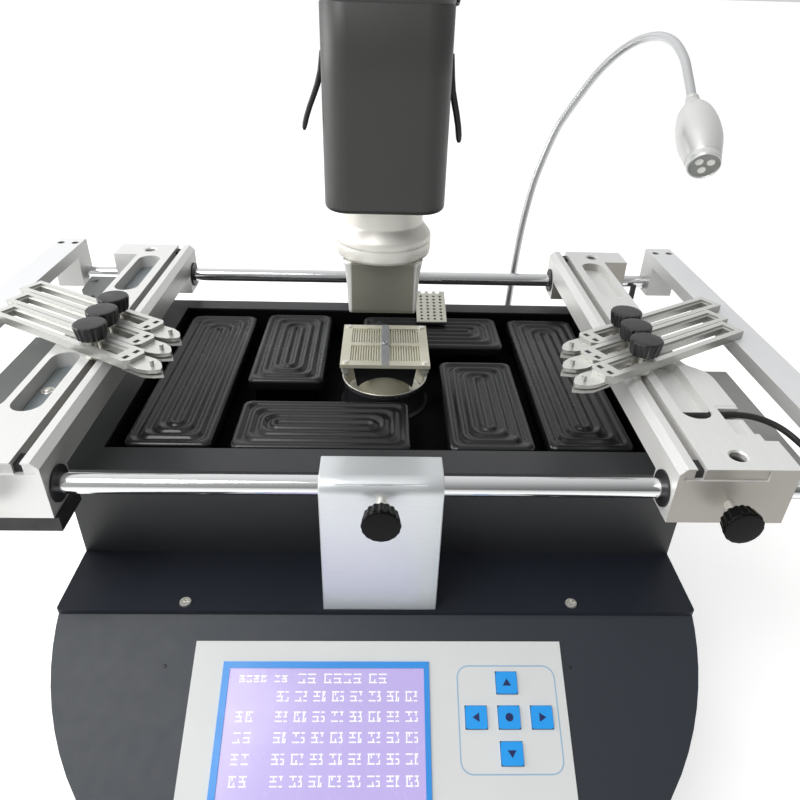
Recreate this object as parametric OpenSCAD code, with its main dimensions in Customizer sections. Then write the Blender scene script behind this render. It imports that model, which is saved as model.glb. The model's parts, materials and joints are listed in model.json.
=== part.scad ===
// Bench rework station with six ceramic lower heaters, a sliding board table
// with clamping claws, a hot-air head on a rear column and a gooseneck lamp.
// Millimetres. X right, Y to the back, Z up, floor at Z = 0.

/* [Base] */
// Width of the base and of the deck
base_w = 403; // [380:1:430]
// Height of the base lid above the floor
base_top = 165; // [140:1:190]
// Front edge of the base lid
lid_front = -186; // [-200:1:-170]
// Rear face of the base
base_back = 234.6; // [210:0.2:260]
// Length of the sloped control panel
panel_l = 128; // [110:1:150]
// Slope of the control panel
panel_a = 27; // [20:1:40]
// Radius of the nose below the panel
nose_r = 14; // [8:1:25]
// Plan radius of the rounded front corners
corner_r = 140; // [130:5:200]
// Height of the rubber feet
foot_h = 15; // [8:1:25]

/* [Deck] */
// Height of the deck above the base lid
deck_h = 70; // [50:1:90]
// Front face of the deck
deck_front = -136; // [-150:1:-125]
// Rear face of the deck
deck_back = 129; // [120:1:145]
// Half width of the heater opening
open_x = 184; // [170:1:190]
// Half depth of the heater opening
open_y = 111.5; // [105:0.5:118]
// Depth of the heater recess
recess = 30; // [20:1:45]

/* [Heaters] */
// Width of every ceramic heater
heat_w = 60; // [50:1:70]
// Length of the four short heaters
heat_short = 124; // [110:1:130]
// Length of the two long heaters
heat_long = 206; // [190:1:215]
// Height of a ceramic heater
heat_h = 26; // [18:1:28]

/* [Table] */
// Diameter of the two guide rods
rod_d = 12; // [10:1:16]
// Height of the rods above the heaters
rod_up = 22.5; // [18:0.5:30]
// Front rod position
rod_front_y = -173; // [-180:1:-165]
// Rear rod position
rod_rear_y = 147; // [140:1:155]
// Inner face of the left end bar
bar_left = -286; // [-300:1:-275]
// Inner face of the right end bar
bar_right = 258; // [245:1:275]
// Width of an end bar
bar_w = 24; // [18:1:30]
// Inner face of the left slide
slide_left_x = -184; // [-190:1:-150]
// Inner face of the right slide
slide_right_x = 164.4; // [150:0.2:175]
// Width of a slide end block
block_w = 68; // [60:1:74]
// Depth of a slide end block
block_d = 28; // [26:1:32]

/* [Claws] */
// Angle of the claws against the rods
claw_a = 31; // [15:1:45]
// Width of one claw bar
claw_w = 18.8; // [14:0.2:20]
// Spacing of the claws along the slide
claw_p = 22.5; // [20:0.5:28]
// Diameter of the clamping knobs
knob_d = 22; // [16:1:22]

/* [Head] */
// Width of the hot-air head
head_w = 79.6; // [70:1:90]
// Underside of the head above the heaters
head_up = 140; // [125:1:160]
// Radius of the round neck
neck_r = 28; // [24:1:32]
// Side of the square hot-air nozzle
noz_w = 49.5; // [40:0.5:60]
// Lower edge of the nozzle above the heaters
noz_up = 63; // [50:1:80]
// Top of the rear column above the floor
column_top = 625; // [600:5:700]

/* [Hidden] */
$fn = 40;
frame_x = 14;                        // puts the frame at the middle of the overall width
front_y = lid_front - panel_l*cos(panel_a) + nose_r*sin(panel_a) - nose_r;   // front face of the base
frame_y = -(front_y + base_back + 3)/2;                                      // and of the overall depth
side_y = -184;                       // where the sides start to round off
hz = base_top + deck_h - 3;          // heater top plane
dz = base_top + deck_h;              // deck lip top
rz = hz + rod_up;                    // rod axis
st = hz + 47;                        // slide top
sb = hz + 26;                        // beam underside
bb = hz + 8.5;                       // block underside
et = hz + 52;                        // end bar top
cb = hz + 52.3;                      // claw bar underside
ct = cb + 6;                         // claw bar top
gr = 12;                             // groove centre from the slide's inner face
hb = hz + head_up;                   // head underside
fit = 0.05;                          // running fit, radial
lx = 2;                              // lower nozzle centre
ux = -0.6;                           // upper nozzle centre
claw_y_l = [-20.5, -43, -65.5];
claw_y_r = [-32.5, -55, -77.5];
key_u = 60.5;
key_x = 77;
lead_pts = [[187,-126.5,275],[200,-126.5,275],[212.6,-126,275],[221.2,-124.8,275],[229.5,-125.2,274.9],[238.3,-127.4,274],[246.2,-130.8,272],[252.2,-135.6,269.9],[257,-142,267],
            [262.5,-147.5,263],[270,-151,257],[279,-152,249],[288,-152.3,240],[296.5,-152.5,225],[303,-152.5,203],[310,-152.5,178],[317,-153,150],[325,-153.5,118],
            [332,-154,86],[340,-155,56],[348,-156.3,29],[355,-157.6,13.5],[361,-158.6,8.6]];
neck_pts = [[136,200,178],[136.5,200,204],[138.2,200,241.6],[141.1,200,286.5],[144.3,200,313],[148.6,200,338],[155.5,200,363],[163.5,199.5,386.5],[171,198.8,401],[179,197.2,415],
            [191,191,436],[203,180,453],[214,164,464.5],[223,144,469],[228,122,466.5],[230,100,457.3],[228.6,80,446],[226.2,58.3,433.6]];

// plan of the housing and its side profile, inset by o
function half(y,o) = (y > side_y ? 0 : -corner_r + sqrt(max(0, (corner_r-o)*(corner_r-o) - (side_y-y)*(side_y-y))) + o) + base_w/2 - 1 - o;
function edge(o,n) = [for (i=[0:n]) let(y = side_y + (front_y + o - side_y)*i/n) [half(y,o), y]];
function plan(o,n) = concat([[base_w/2-1-o, base_back-o]], edge(o,n), [for (q=back(edge(o,n))) [-q[0],q[1]]], [[-base_w/2+1+o, base_back-o]]);
function prof(o) = let(a = panel_a, e = [lid_front - panel_l*cos(a), base_top - 3 - panel_l*sin(a)], c = [e[0] + nose_r*sin(a), e[1] - nose_r*cos(a)])
  concat([[lid_front + o*0.25, base_top - 3 - o]], [for (i=[0:6]) let(t = a + (90-a)*i/6) [c[0] - (nose_r-o)*sin(t), c[1] + (nose_r-o)*cos(t)]],
  [[front_y+o, foot_h+o], [base_back-o, foot_h+o], [base_back-o, base_top-3-o]]);
function back(v) = [for (i=[len(v)-1:-1:0]) v[i]];
module along_x(x0,x1) translate([x0,0,0]) rotate([90,0,90]) linear_extrude(x1-x0) children();
module slab(x0,x1,u0,u1,o0,o1) on_panel(0,0) translate([x0,-u1,o0]) cube([x1-x0,u1-u0,o1-o0]);
module at() translate([frame_x,frame_y,0]) children();
module on_panel(x,u) translate([x, lid_front - u*cos(panel_a), base_top - 3 - u*sin(panel_a)]) rotate([panel_a,0,0]) children();
module rrect(w,l,r) { hull() for (i=[-1,1]) for (j=[-1,1]) translate([i*(w/2-r), j*(l/2-r)]) circle(r, $fn=24); }

// swept round tube through a list of points
function unit(v) = v/norm(v);
function tang(p,i) = unit(p[min(i+1,len(p)-1)] - p[max(i-1,0)]);
function ring(c,t,ref,r,m) = let(a = unit(cross(t,ref)), b = cross(t,a)) [for (k=[0:m-1]) c + r*(cos(360*k/m)*a + sin(360*k/m)*b)];
module tube(p,r,ref,m=8) {
  n = len(p);
  pts = [for (i=[0:n-1]) each ring(p[i], tang(p,i), ref, r, m)];
  polyhedron(points = pts, faces = concat([[for (k=[0:m-1]) k]], [[for (k=[m-1:-1:0]) (n-1)*m+k]],
    [for (i=[0:n-2]) for (k=[0:m-1]) [i*m+k, (i+1)*m+k, (i+1)*m+(k+1)%m, i*m+(k+1)%m]]));
}

keys_at = [[0,-19],[0,19],[-19.5,0],[19.5,0],[0,0]];
module base_shell() at() color([0.36,0.38,0.40]) difference() {
  intersection() {
    along_x(-220,220) polygon(prof(0));
    linear_extrude(200) polygon(plan(0,12));
  }
  intersection() {
    along_x(-220,220) polygon(prof(2));
    linear_extrude(200) polygon(plan(2,12));
  }
  for (k=keys_at) on_panel(key_x + k[0], key_u + k[1]) cube([13.2,13,14], center=true);
  for (i=[0:6]) translate([-base_w/2 - 1, 20 + i*22, 60]) cube([6, 6, 52]);
  for (i=[0:6]) translate([base_w/2 - 5, 20 + i*22, 60]) cube([6, 6, 52]);
  translate([-150, base_back - 6, 52]) cube([46, 12, 28]);
}
module base_lid() at() color([0.13,0.14,0.17]) translate([0, (lid_front + base_back)/2, base_top - 3])
  difference() {
    linear_extrude(3) rrect(base_w, base_back - lid_front + 3, 3);
    for (x=[-123,123]) translate([x, lid_front + 5.5 - (lid_front + base_back)/2, 1.4]) cylinder(d=8.4, h=3);
  }
module feet() at() color([0.06,0.06,0.06]) for (q=[[-165,195],[165,195],[-140,-255],[140,-255]]) translate([q[0],q[1],0])
  rotate_extrude() polygon([[0,0],[15,0],[17,3],[14,foot_h],[0,foot_h]]);
module panel_label() at() color([0.80,0.81,0.82]) difference() {
  slab(-112.3, 112.2, 17.5, 121, 0.03, 0.5);
  for (k=keys_at) on_panel(key_x + k[0], key_u + k[1]) cube([13.2,13,14], center=true);
}
module display_frame() at() color([0.08,0.30,0.75]) difference() {
  slab(-94, 30.3, 29.5, 113, 0.53, 1.3);
  slab(-89.9, 27.2, 33.3, 109.3, 0.2, 2.5);
}
module display_screen() at() color([0.72,0.76,0.95]) slab(-89.8, 27.1, 33.4, 109.2, 0.53, 0.9);
module key(kx,ku) color([0.10,0.30,0.72]) on_panel(key_x + kx, key_u + ku) {
  translate([0,0,-0.9]) linear_extrude(2.6) rrect(12.6, 12.4, 1.2);
  translate([-5,-4,-5]) cube([10,8,4.2]);
}
module key_up() at() key(0,-19);
module key_down() at() key(0,19);
module key_left() at() key(-19.5,0);
module key_right() at() key(19.5,0);
module key_enter() at() key(0,0);
module screws() at() color([0.80,0.80,0.80]) {
  for (x=[-123,123]) translate([x, lid_front + 5.5, base_top - 1.6]) difference() {
    cylinder(d1=8.2, d2=7, h=2.2);
    for (a=[0,90]) rotate([0,0,a]) translate([-2.4,-0.5,1.2]) cube([4.8,1,2]);
  }
  for (i=[-1,1]) for (j=[-1,1]) translate([lx+i*30, j*30.5, 0]) {
    translate([0,0,hz+14]) cylinder(d=3.5, h=12);
    translate([0,0,hz+25]) cylinder(d=4.6, h=0.9);
    translate([0,0,hz+17]) cylinder(d=6.6, h=5, $fn=6);
  }
}

module deck_box() at() color([0.27,0.28,0.29]) {
  y0 = deck_front; y1 = deck_back; w = base_w;
  difference() {
    translate([-w/2, y0, base_top]) cube([w, y1-y0, deck_h]);
    translate([-w/2+2, y0+2, base_top-1]) cube([w-4, y1-y0-4, deck_h-2]);
    translate([-open_x, -open_y, base_top]) cube([2*open_x, 2*open_y, deck_h+1]);
  }
  difference() {
    translate([-open_x-2, -open_y-2, dz-recess-2]) cube([2*open_x+4, 2*open_y+4, recess]);
    translate([-open_x, -open_y, dz-recess]) cube([2*open_x, 2*open_y, recess+1]);
  }
}
// one ceramic heater, long side along Y, top at Z = 0
module ceramic(l) color([0.10,0.10,0.10]) {
  translate([0,0,-heat_h]) linear_extrude(heat_h-9) rrect(heat_w-8, l-8, 6);
  difference() {
    translate([0,0,-10]) linear_extrude(10) rrect(heat_w, l, 5);
    translate([0,0,-2.2]) linear_extrude(4) rrect(heat_w-7, l-7, 3.5);
  }
  for (o=[13,24,35]) translate([0,0,-2.4]) linear_extrude(2) difference() { rrect(heat_w-o, l-o, 3); rrect(heat_w-o-6, l-o-6, 2); }
  translate([0,0,-2.4]) linear_extrude(2) rrect(heat_w-48, l-48, 3);
}
module stand(l) translate([0,0,hz]) { ceramic(l); translate([0,0,-recess+3]) color([0.2,0.2,0.2]) cylinder(d=22, h=recess-3-heat_h+0.5); }
module heaters_long() at() for (x=[-146.5,146.5]) translate([x,0,0]) stand(heat_long);
module heaters_short() at() {
  translate([-77,46,0]) stand(heat_short);
  translate([-41.8,-74.8,0]) rotate([0,0,90]) stand(heat_short);
  translate([77,-42.8,0]) stand(heat_short);
  translate([44,76,0]) rotate([0,0,90]) stand(heat_short);
}
module lower_cup() at() color([0.55,0.54,0.50]) translate([lx,0,dz-recess]) rotate_extrude($fn=56)
  polygon([[0,0],[36,0],[36,2],[33,3],[32.6,20],[34.4,24],[34.4,25.2],[33.2,25.2],[30.8,21],[30.8,9],[0,9]]);
module lower_duct() at() color([0.16,0.16,0.18]) translate([lx,0,0]) difference() {
  hull() { translate([-24,-24,hz+21]) cube([48,48,1]); translate([-18,-18,hz-18]) cube([36,36,1]); }
  hull() { translate([-23,-23,hz+21.5]) cube([46,46,1]); translate([-16.5,-16.5,hz-19]) cube([33,33,1]); }
}
module lower_nozzle() at() translate([lx,0,0]) {
  color([0.80,0.78,0.70]) difference() {
    translate([-34,-34.5,hz+22]) cube([68,69,3]);
    for (i=[-1,1]) for (j=[-1,1]) translate([i*15.2-11.8, j*15-12.4, hz+20]) cube([23.6,24.8,8]);
    for (i=[-1,1]) for (j=[-1,1]) translate([i*30, j*30.5, hz+20]) cylinder(d=3.6, h=8);
  }
  color([0.74,0.72,0.64]) for (i=[-1,1]) for (j=[-1,1]) for (k=[0:6]) translate([i*15.2-10.7+k*3.4, j*15-12.5, hz+22]) cube([1,25,1.8]);
}

// bent plate that carries a rod, front face towards -Y
module bracket() {
  y0 = -13; z0 = base_top - rz; zt = 11.5;
  difference() {
    union() {
      along_x(-35,35) polygon(concat([[y0,z0],[y0+26,z0],[y0+26,z0+3],[y0+3,z0+3],[y0+3,zt-9]],
        [for (i=[0:6]) let(a=180-15*i) [y0+9+6*cos(a), zt-9+6*sin(a)]], [[12,zt-3],[12,zt]],
        [for (i=[0:6]) let(a=90+15*i) [y0+9+9*cos(a), zt-9+9*sin(a)]]));
      translate([-26,y0+2,-10.5]) cube([52,22,zt+8.5]);
    }
    rotate([0,90,0]) cylinder(r=rod_d/2+fit, h=200, center=true, $fn=48);
    translate([0,0,0]) rotate([90,0,0]) cylinder(r=3+fit, h=40, $fn=32);
  }
}
module bracket_front() at() color([0.78,0.78,0.78]) translate([0,rod_front_y,rz]) bracket();
module bracket_rear() at() color([0.78,0.78,0.78]) translate([0,rod_rear_y,rz]) rotate([0,0,180]) bracket();
// clamping knob, axis along Z, stem below Z = 0
module knob(d,h,stem,sr=3) {
  color([0.05,0.05,0.06]) difference() {
    rotate_extrude() polygon([[0,0],[d*0.40,0],[d*0.44,1],[d*0.47,h*0.5],[d*0.5,h*0.72],[d*0.5,h*0.84],[d*0.47,h*0.93],[d*0.3,h*0.985],[0,h]]);
    for (k=[0:9]) rotate([0,0,36*k]) translate([d*0.53,0,-1]) cylinder(d=d*0.16, h=h*0.66+1, $fn=16);
  }
  color([0.82,0.82,0.83]) translate([0,0,-stem]) cylinder(r=sr, h=stem+0.5, $fn=32);
}
module bracket_knob() at() translate([0, rod_front_y-25.5, rz]) rotate([90,0,0]) knob(22,10,18.9);

module rod(y) color([0.86,0.86,0.87]) translate([bar_left-16, y, rz]) rotate([0,90,0]) cylinder(d=rod_d, h=bar_right-bar_left+32, $fn=48);
module rod_front() at() rod(rod_front_y);
module rod_rear() at() rod(rod_rear_y);
module end_bar(x,x0) color([0.80,0.81,0.81]) difference() {
  union() {
    translate([x, rod_front_y-13, et-10]) cube([bar_w, rod_rear_y-rod_front_y+26, 10]);
    for (y=[rod_front_y,rod_rear_y]) translate([x, y-13, rz-9]) cube([bar_w, 26, et-rz+8]);
  }
  for (y=[rod_front_y,rod_rear_y]) translate([x0, y, rz]) rotate([0,90,0]) cylinder(d=rod_d, h=17, $fn=48);
  for (y=[rod_front_y,rod_rear_y]) for (k=[5.5,18.5]) translate([x+k, y, et-4]) cylinder(d=6.4, h=6, $fn=24);
}
module end_bar_left() at() end_bar(bar_left-bar_w, bar_left-16);
module end_bar_right() at() end_bar(bar_right, bar_right-1);

// one slide, inner face at X = 0, body towards +X
module slide_body(fl,wd) difference() {
  union() {
    for (y=[rod_front_y,rod_rear_y]) translate([0, y-block_d/2, bb]) cube([block_w, block_d, st-bb]);
    translate([0,0,sb]) linear_extrude(st-sb) difference() {
      polygon([[0,rod_front_y],[60,rod_front_y],[60,fl-27],[59.6,fl-22.5],[58.4,fl-18.7],[56.4,fl-15.6],[53,fl-12],[46,fl],[46,rod_rear_y],[0,rod_rear_y]]);
      translate([60,fl]) circle(r=14, $fn=48);
    }
  }
  for (y=[-99,89]) translate([31.5,y,st-wd]) linear_extrude(30) hull() { translate([0,y<0?-27.6:-31]) circle(d=19.5); translate([0,y<0?27.6:31]) circle(d=19.5); }
  translate([gr-2.8, rod_front_y-30, st-8]) cube([5.6, 420, 10]);
  translate([gr-5, rod_front_y-block_d/2+6, st-12]) cube([10, rod_rear_y-rod_front_y+block_d-12, 5]);
  translate([-0.01,-250,st]) rotate([0,45,0]) translate([-3,0,-3]) cube([6,500,6]);
  translate([3, rod_front_y-block_d/2-1, st-8]) cube([48, 2.2, 7]);
  for (y=[rod_front_y,rod_rear_y]) {
    translate([-1,y,rz]) rotate([0,90,0]) cylinder(r=9.5, h=block_w+2, $fn=48);
    translate([37.5,y-1,st-7]) cylinder(d=9.6, h=12);
    translate([37.5,y-1,st-1]) cylinder(d1=9.6, d2=11.8, h=1.1);
  }
  translate([33, rod_front_y, rz]) rotate([90,0,0]) cylinder(r=3+fit, h=40, $fn=32);
}
module bushes() for (y=[rod_front_y,rod_rear_y]) translate([-1.2,y,rz]) rotate([0,90,0]) difference() {
  union() { cylinder(r=9.5, h=block_w+2.2, $fn=48); cylinder(r=11, h=1.2, $fn=48); }
  translate([0,0,-1]) cylinder(r=rod_d/2+fit, h=block_w+6, $fn=48);
  if (y == rod_front_y) translate([0,0,34.2]) rotate([90,0,0]) cylinder(r=3.6, h=20, $fn=32);
}
// dark stops that close the groove at both ends
module trims() for (e=[[rod_front_y-14,1],[rod_rear_y+14,-1]]) translate([gr, e[0]+e[1]*8, 0]) {
  translate([-2.8,-5,st-8]) cube([5.6,10,5]);
  translate([-4.9,e[1]>0?-1.9:-5,st-11.9]) cube([9.8,6.9,4.1]);
}
module right_side() translate([slide_right_x,0,0]) children();
module left_side() translate([slide_left_x,0,0]) mirror([1,0,0]) children();
module slide_right() at() color([0.83,0.83,0.83]) right_side() difference() {
  slide_body(-60,7);
  translate([46,-152,st-8]) cube([20,31,10]);
  translate([38,-126.3,st-4]) rotate([0,90,0]) cylinder(r=2.6, h=10, $fn=24);
}
module slide_left() at() color([0.83,0.83,0.83]) left_side() slide_body(-124,30);
module bushings_right() at() color([0.08,0.08,0.09]) right_side() {
  bushes();
  trims();
  translate([block_w, rod_rear_y-12, rz-13.5]) cube([14.6,4,4]);
  translate([block_w+10.4, rod_rear_y-12, rz-13.5]) cube([4.2,4,14]);
}
module bushings_left() at() color([0.08,0.08,0.09]) left_side() {
  bushes();
  trims();
  translate([-2.5, rod_front_y-13.8, bb-10]) cube([70,27.6,9.9]);
}
// grey plate that hangs under a slide on two spacers
module wing(out,y1,sx,sy) {
  zt = hz + 22;
  translate([0,0,zt-3]) linear_extrude(3) polygon([[16,-150],[out,-150],[out,y1],[out-18,y1],[46,y1-12],[16,y1-12]]);
  for (y=[-144,y1-22]) translate([44,y-4,zt-0.5]) cube([10,10,sb-zt+0.5]);
  translate([sx,sy,zt-1]) cylinder(d=10,h=2.6);
}
module wing_right() at() color([0.55,0.56,0.56]) right_side() {
  wing(99,-32,78,-60);
}
module wing_left() at() color([0.55,0.56,0.56]) left_side() {
  wing(92,9,47.4,-72);
  translate([0,0,sb-3]) linear_extrude(3) polygon([[40,128],[91,128],[88,96],[78,77],[73,85],[66,73],[40,73]]);
  translate([84,118,sb-1]) cylinder(d=6,h=2.4);
}
module slide_knob() translate([33, rod_front_y-block_d/2-11, rz]) rotate([90,0,0]) knob(22,10,17.4);
module knob_right() at() right_side() slide_knob();
module knob_left() at() left_side() slide_knob();

// one claw along +X, clamping screw at the origin, tip at +63
module claw() color([0.86,0.86,0.85]) {
  difference() {
    translate([-98,-claw_w/2,cb]) cube([140,claw_w,6]);
    translate([-91,-3.4,cb-1]) cube([119,6.8,8]);
    translate([-93,-5.4,ct-1.6]) cube([122,10.8,3]);
    for (j=[-4.4,4.4]) translate([36.5,j,ct-2]) cube([3.4,4.4,8], center=true);
    for (j=[-1,1]) translate([42,j*claw_w/2,cb-1]) rotate([0,0,45]) cube([5,5,20], center=true);
  }
  translate([0,0,cb+0.4]) linear_extrude(2.6) polygon([[40,-7.5],[50,-8],[57,-6],[61.5,-2.5],[63,0],[61.5,2.5],[57,6],[50,8],[40,7.5]]);
  translate([0,0,cb-3]) linear_extrude(1.8) polygon([[33,-7],[52,-7.4],[59,-4.5],[64.5,0],[59,4.5],[52,7.4],[33,7]]);
  translate([33,-6,cb-2]) cube([6,12,3]);
  translate([55,0,cb+1]) cylinder(d=3, h=6, $fn=24);
}
module place_l(i) translate([slide_left_x-gr, claw_y_l[i], 0]) rotate([0,0,-claw_a]) children();
module place_r(i) translate([slide_right_x+gr, claw_y_r[i], 0]) rotate([0,0,180+claw_a]) children();
module claw_l1() at() place_l(0) claw();
module claw_l2() at() place_l(1) claw();
module claw_l3() at() place_l(2) claw();
module claw_r1() at() place_r(0) translate([-3.4,0,0]) claw();
module claw_r2() at() place_r(1) translate([3,0,0]) claw();
module claw_r3() at() place_r(2) claw();
module claw_knob() translate([0,0,ct+0.15]) {
  translate([0,0,2.4]) knob(knob_d,11,22.4,2.4);
  color([0.82,0.82,0.83]) cylinder(d=10, h=2.5, $fn=32);
  color([0.82,0.82,0.83]) translate([0,0,-22.4]) cylinder(d=8.6, h=3.4, $fn=32);
  color([0.82,0.82,0.83]) translate([0,0,-11.3]) cylinder(d=14, h=5, $fn=32);
}
module claw_knob_l1() at() place_l(0) claw_knob();
module claw_knob_l2() at() place_l(1) claw_knob();
module claw_knob_l3() at() place_l(2) claw_knob();
module claw_knob_r1() at() place_r(0) claw_knob();
module claw_knob_r2() at() place_r(1) claw_knob();
module claw_knob_r3() at() place_r(2) claw_knob();

module column() at() color([0.72,0.73,0.74]) {
  difference() {
    translate([-28,188,base_top+6]) cube([56,38,column_top-base_top-6]);
    for (x=[-28,28]) translate([x,207,base_top+100]) cube([10,8,2*column_top], center=true);
    translate([0,188,base_top+100]) cube([8,10,2*column_top], center=true);
  }
  translate([-45,176,base_top]) cube([90,58,8]);
  translate([-34,184,column_top-1]) cube([68,46,6]);
}
module head() at() color([0.33,0.34,0.34]) translate([ux+0.8,12,hb]) difference() {
  linear_extrude(186) rrect(head_w, 108, 11);
  translate([0,0,6]) linear_extrude(172) rrect(head_w-6, 102, 8);
}
module head_neck() at() color([0.80,0.80,0.79]) translate([ux,0,hz+108]) difference() {
  cylinder(r=neck_r, h=head_up-108, $fn=64);
  translate([0,0,-1]) cylinder(r=neck_r-3, h=head_up-108-1, $fn=64);
}
module head_levers() at() color([0.10,0.10,0.10]) for (s=[-1,1]) translate([ux+(s+1)*0.8,0,0]) lever(s);
module head_arm() at() color([0.45,0.46,0.47]) difference() {
  union() {
    translate([-26,66,hb+98]) cube([52,110,60]);
    translate([-38,173,hb+88]) cube([76,62,84]);
  }
  translate([-28.1,187.9,hb+80]) cube([56.2,38.2,100]);
  translate([30,181,hb+130]) rotate([0,90,0]) cylinder(r=5+fit, h=20, $fn=40);
}
// curved clip lever hanging at the side of the head
module lever(s) translate([0,-12,0]) rotate([90,0,0]) linear_extrude(8, center=true) scale([s,1])
  polygon([[39,hb+92],[44,hb+92],[48.5,hb+78],[52,hb+62],[53.8,hb+50],[54.2,hb+42],[53,hb+37],[51,hb+38],[50.6,hb+44],[50,hb+52],[47.6,hb+64],[44,hb+78],[40,hb+86],[39,hb+86]]);
module nozzle_upper() at() color([0.80,0.80,0.78]) translate([ux,0,0]) {
  translate([0,0,hz+102]) rotate_extrude($fn=64)
    polygon([[23.5,0],[31.6,0],[33.4,0.8],[34.3,2.4],[34.3,12],[33.2,15],[31.4,17],[29.4,18],[neck_r+fit,18],[neck_r+fit,3],[23.5,3]]);
  difference() {
    union() {
      translate([0,0,hz+noz_up]) linear_extrude(22) rrect(noz_w,noz_w,6);
      hull() { translate([0,0,hz+noz_up+21]) linear_extrude(1) rrect(noz_w,noz_w,6); translate([0,0,hz+101.6]) cylinder(r=29.5, h=1, $fn=48); }
    }
    translate([0,0,hz+noz_up-1]) linear_extrude(24) rrect(noz_w-5,noz_w-5,4);
    translate([0,0,hz+noz_up+20]) cylinder(r=22.5, h=30);
  }
}
module lift_knob() at() translate([42, 181, hb+130]) rotate([0,90,0]) knob(34,20,10,5);
module cooling_outlet() at() {
  color([0.82,0.81,0.76]) translate([45,127.5,hz+17]) rotate([15,0,0]) translate([0,-45,-1.5]) difference() {
    translate([-13.7,0,0]) cube([27.4,45,1.5]);
    for (i=[-1.5:1:1.5]) for (j=[0:7]) translate([i*6, 4.5+j*4.6, -1]) cylinder(d=2.4, h=4, $fn=8);
  }
  color([0.20,0.20,0.21]) along_x(33.5,56.5) polygon([[113,dz],[127,dz],[127,hz+15.4],[84.5,hz+4],[84.5,hz+2.2],[113,hz+4.5]]);
}
module gooseneck() at() color([0.30,0.30,0.31]) {
  tube(neck_pts, 3.6, [1,0,0], 10);
  translate([136,200,base_top]) cylinder(d1=24, d2=16, h=14);
}
module at_lamp() translate([226.2,58.3,433.6]) rotate([0,0,-5.9]) rotate([-60.2,0,0]) children();
module lamp() at() color([0.78,0.78,0.79]) at_lamp() rotate_extrude($fn=48)
  polygon([[0,0.5],[4.6,0.5],[5,-6],[6.5,-9],[10,-13],[12.2,-18],[13.8,-23.5],[15.2,-32],[15.6,-41],[15,-49],[13.4,-57],[12,-64],[11.2,-70],[10.2,-70],[10.2,-66],[0,-66]]);
module lamp_lens() at() color([0.92,0.93,0.88]) at_lamp() translate([0,0,-69.4]) cylinder(d=20, h=3, $fn=48);
module power_inlet() at() color([0.08,0.08,0.08]) difference() {
  union() {
    translate([-152, base_back, 50]) cube([50,3,32]);
    translate([-149.8, base_back-20, 52.2]) cube([45.6,20.5,27.6]);
  }
  translate([-141, base_back-14, 55]) cube([28,20,22]);
}
module lead() at() color([0.06,0.06,0.06]) tube(lead_pts, 2, [0,1,0], 8);
module lead_coil() at() color([0.06,0.06,0.06]) translate([376,-186.3,0]) rotate_extrude($fn=40)
  polygon([[20,1.2],[21,0.2],[27.4,0.2],[28.4,1.2],[28.4,7.4],[27.4,8.4],[21,8.4],[20,7.4]]);
module lead_plug() at() color([0.07,0.07,0.08]) {
  translate([408,-174,0.2]) cube([24,16,9]);
  for (k=[-170.6,-162.8]) translate([432,k,3.4]) cube([10,1.4,3]);
  tube([[395,-161.5,6.6],[402,-164,5.4],[409,-166,4.7]], 2, [0,1,0], 8);
}

base_shell();
base_lid();
feet();
panel_label();
display_frame();
display_screen();
key_up();
key_down();
key_left();
key_right();
key_enter();
screws();
deck_box();
heaters_long();
heaters_short();
lower_cup();
lower_duct();
lower_nozzle();
bracket_front();
bracket_rear();
bracket_knob();
rod_front();
rod_rear();
end_bar_left();
end_bar_right();
slide_left();
slide_right();
bushings_left();
bushings_right();
wing_left();
wing_right();
knob_left();
knob_right();
claw_l1();
claw_l2();
claw_l3();
claw_r1();
claw_r2();
claw_r3();
claw_knob_l1();
claw_knob_l2();
claw_knob_l3();
claw_knob_r1();
claw_knob_r2();
claw_knob_r3();
column();
head();
head_neck();
head_levers();
head_arm();
nozzle_upper();
lift_knob();
cooling_outlet();
gooseneck();
lamp();
lamp_lens();
power_inlet();
lead();
lead_coil();
lead_plug();
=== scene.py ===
import json
import math

import bmesh
import bpy
from mathutils import Matrix, Vector


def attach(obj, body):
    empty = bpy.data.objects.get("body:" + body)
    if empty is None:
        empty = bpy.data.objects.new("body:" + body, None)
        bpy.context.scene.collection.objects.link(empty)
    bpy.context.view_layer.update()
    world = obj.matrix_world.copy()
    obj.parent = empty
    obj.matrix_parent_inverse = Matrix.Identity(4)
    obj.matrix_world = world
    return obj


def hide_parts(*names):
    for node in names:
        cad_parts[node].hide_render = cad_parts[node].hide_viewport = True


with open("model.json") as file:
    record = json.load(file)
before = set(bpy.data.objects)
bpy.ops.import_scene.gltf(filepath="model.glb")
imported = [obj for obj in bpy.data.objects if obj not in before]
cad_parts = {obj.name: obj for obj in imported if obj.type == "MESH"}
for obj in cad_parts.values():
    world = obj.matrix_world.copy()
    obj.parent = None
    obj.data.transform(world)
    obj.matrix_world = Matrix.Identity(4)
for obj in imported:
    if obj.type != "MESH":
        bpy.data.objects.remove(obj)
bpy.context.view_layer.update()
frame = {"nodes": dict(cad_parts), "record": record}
nodes = frame["nodes"]
scene = bpy.context.scene
MM = 0.001
FX, FY = 14.0, 35.046482        # the frame's X and Y against the deck centre, mm
HZ = 232.0                      # heater top plane, mm


def P(x, y, z):
    """Millimetres from the deck centre and the floor to the row frame."""
    return Vector(((x + FX) * MM, (y + FY) * MM, z * MM))


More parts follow.
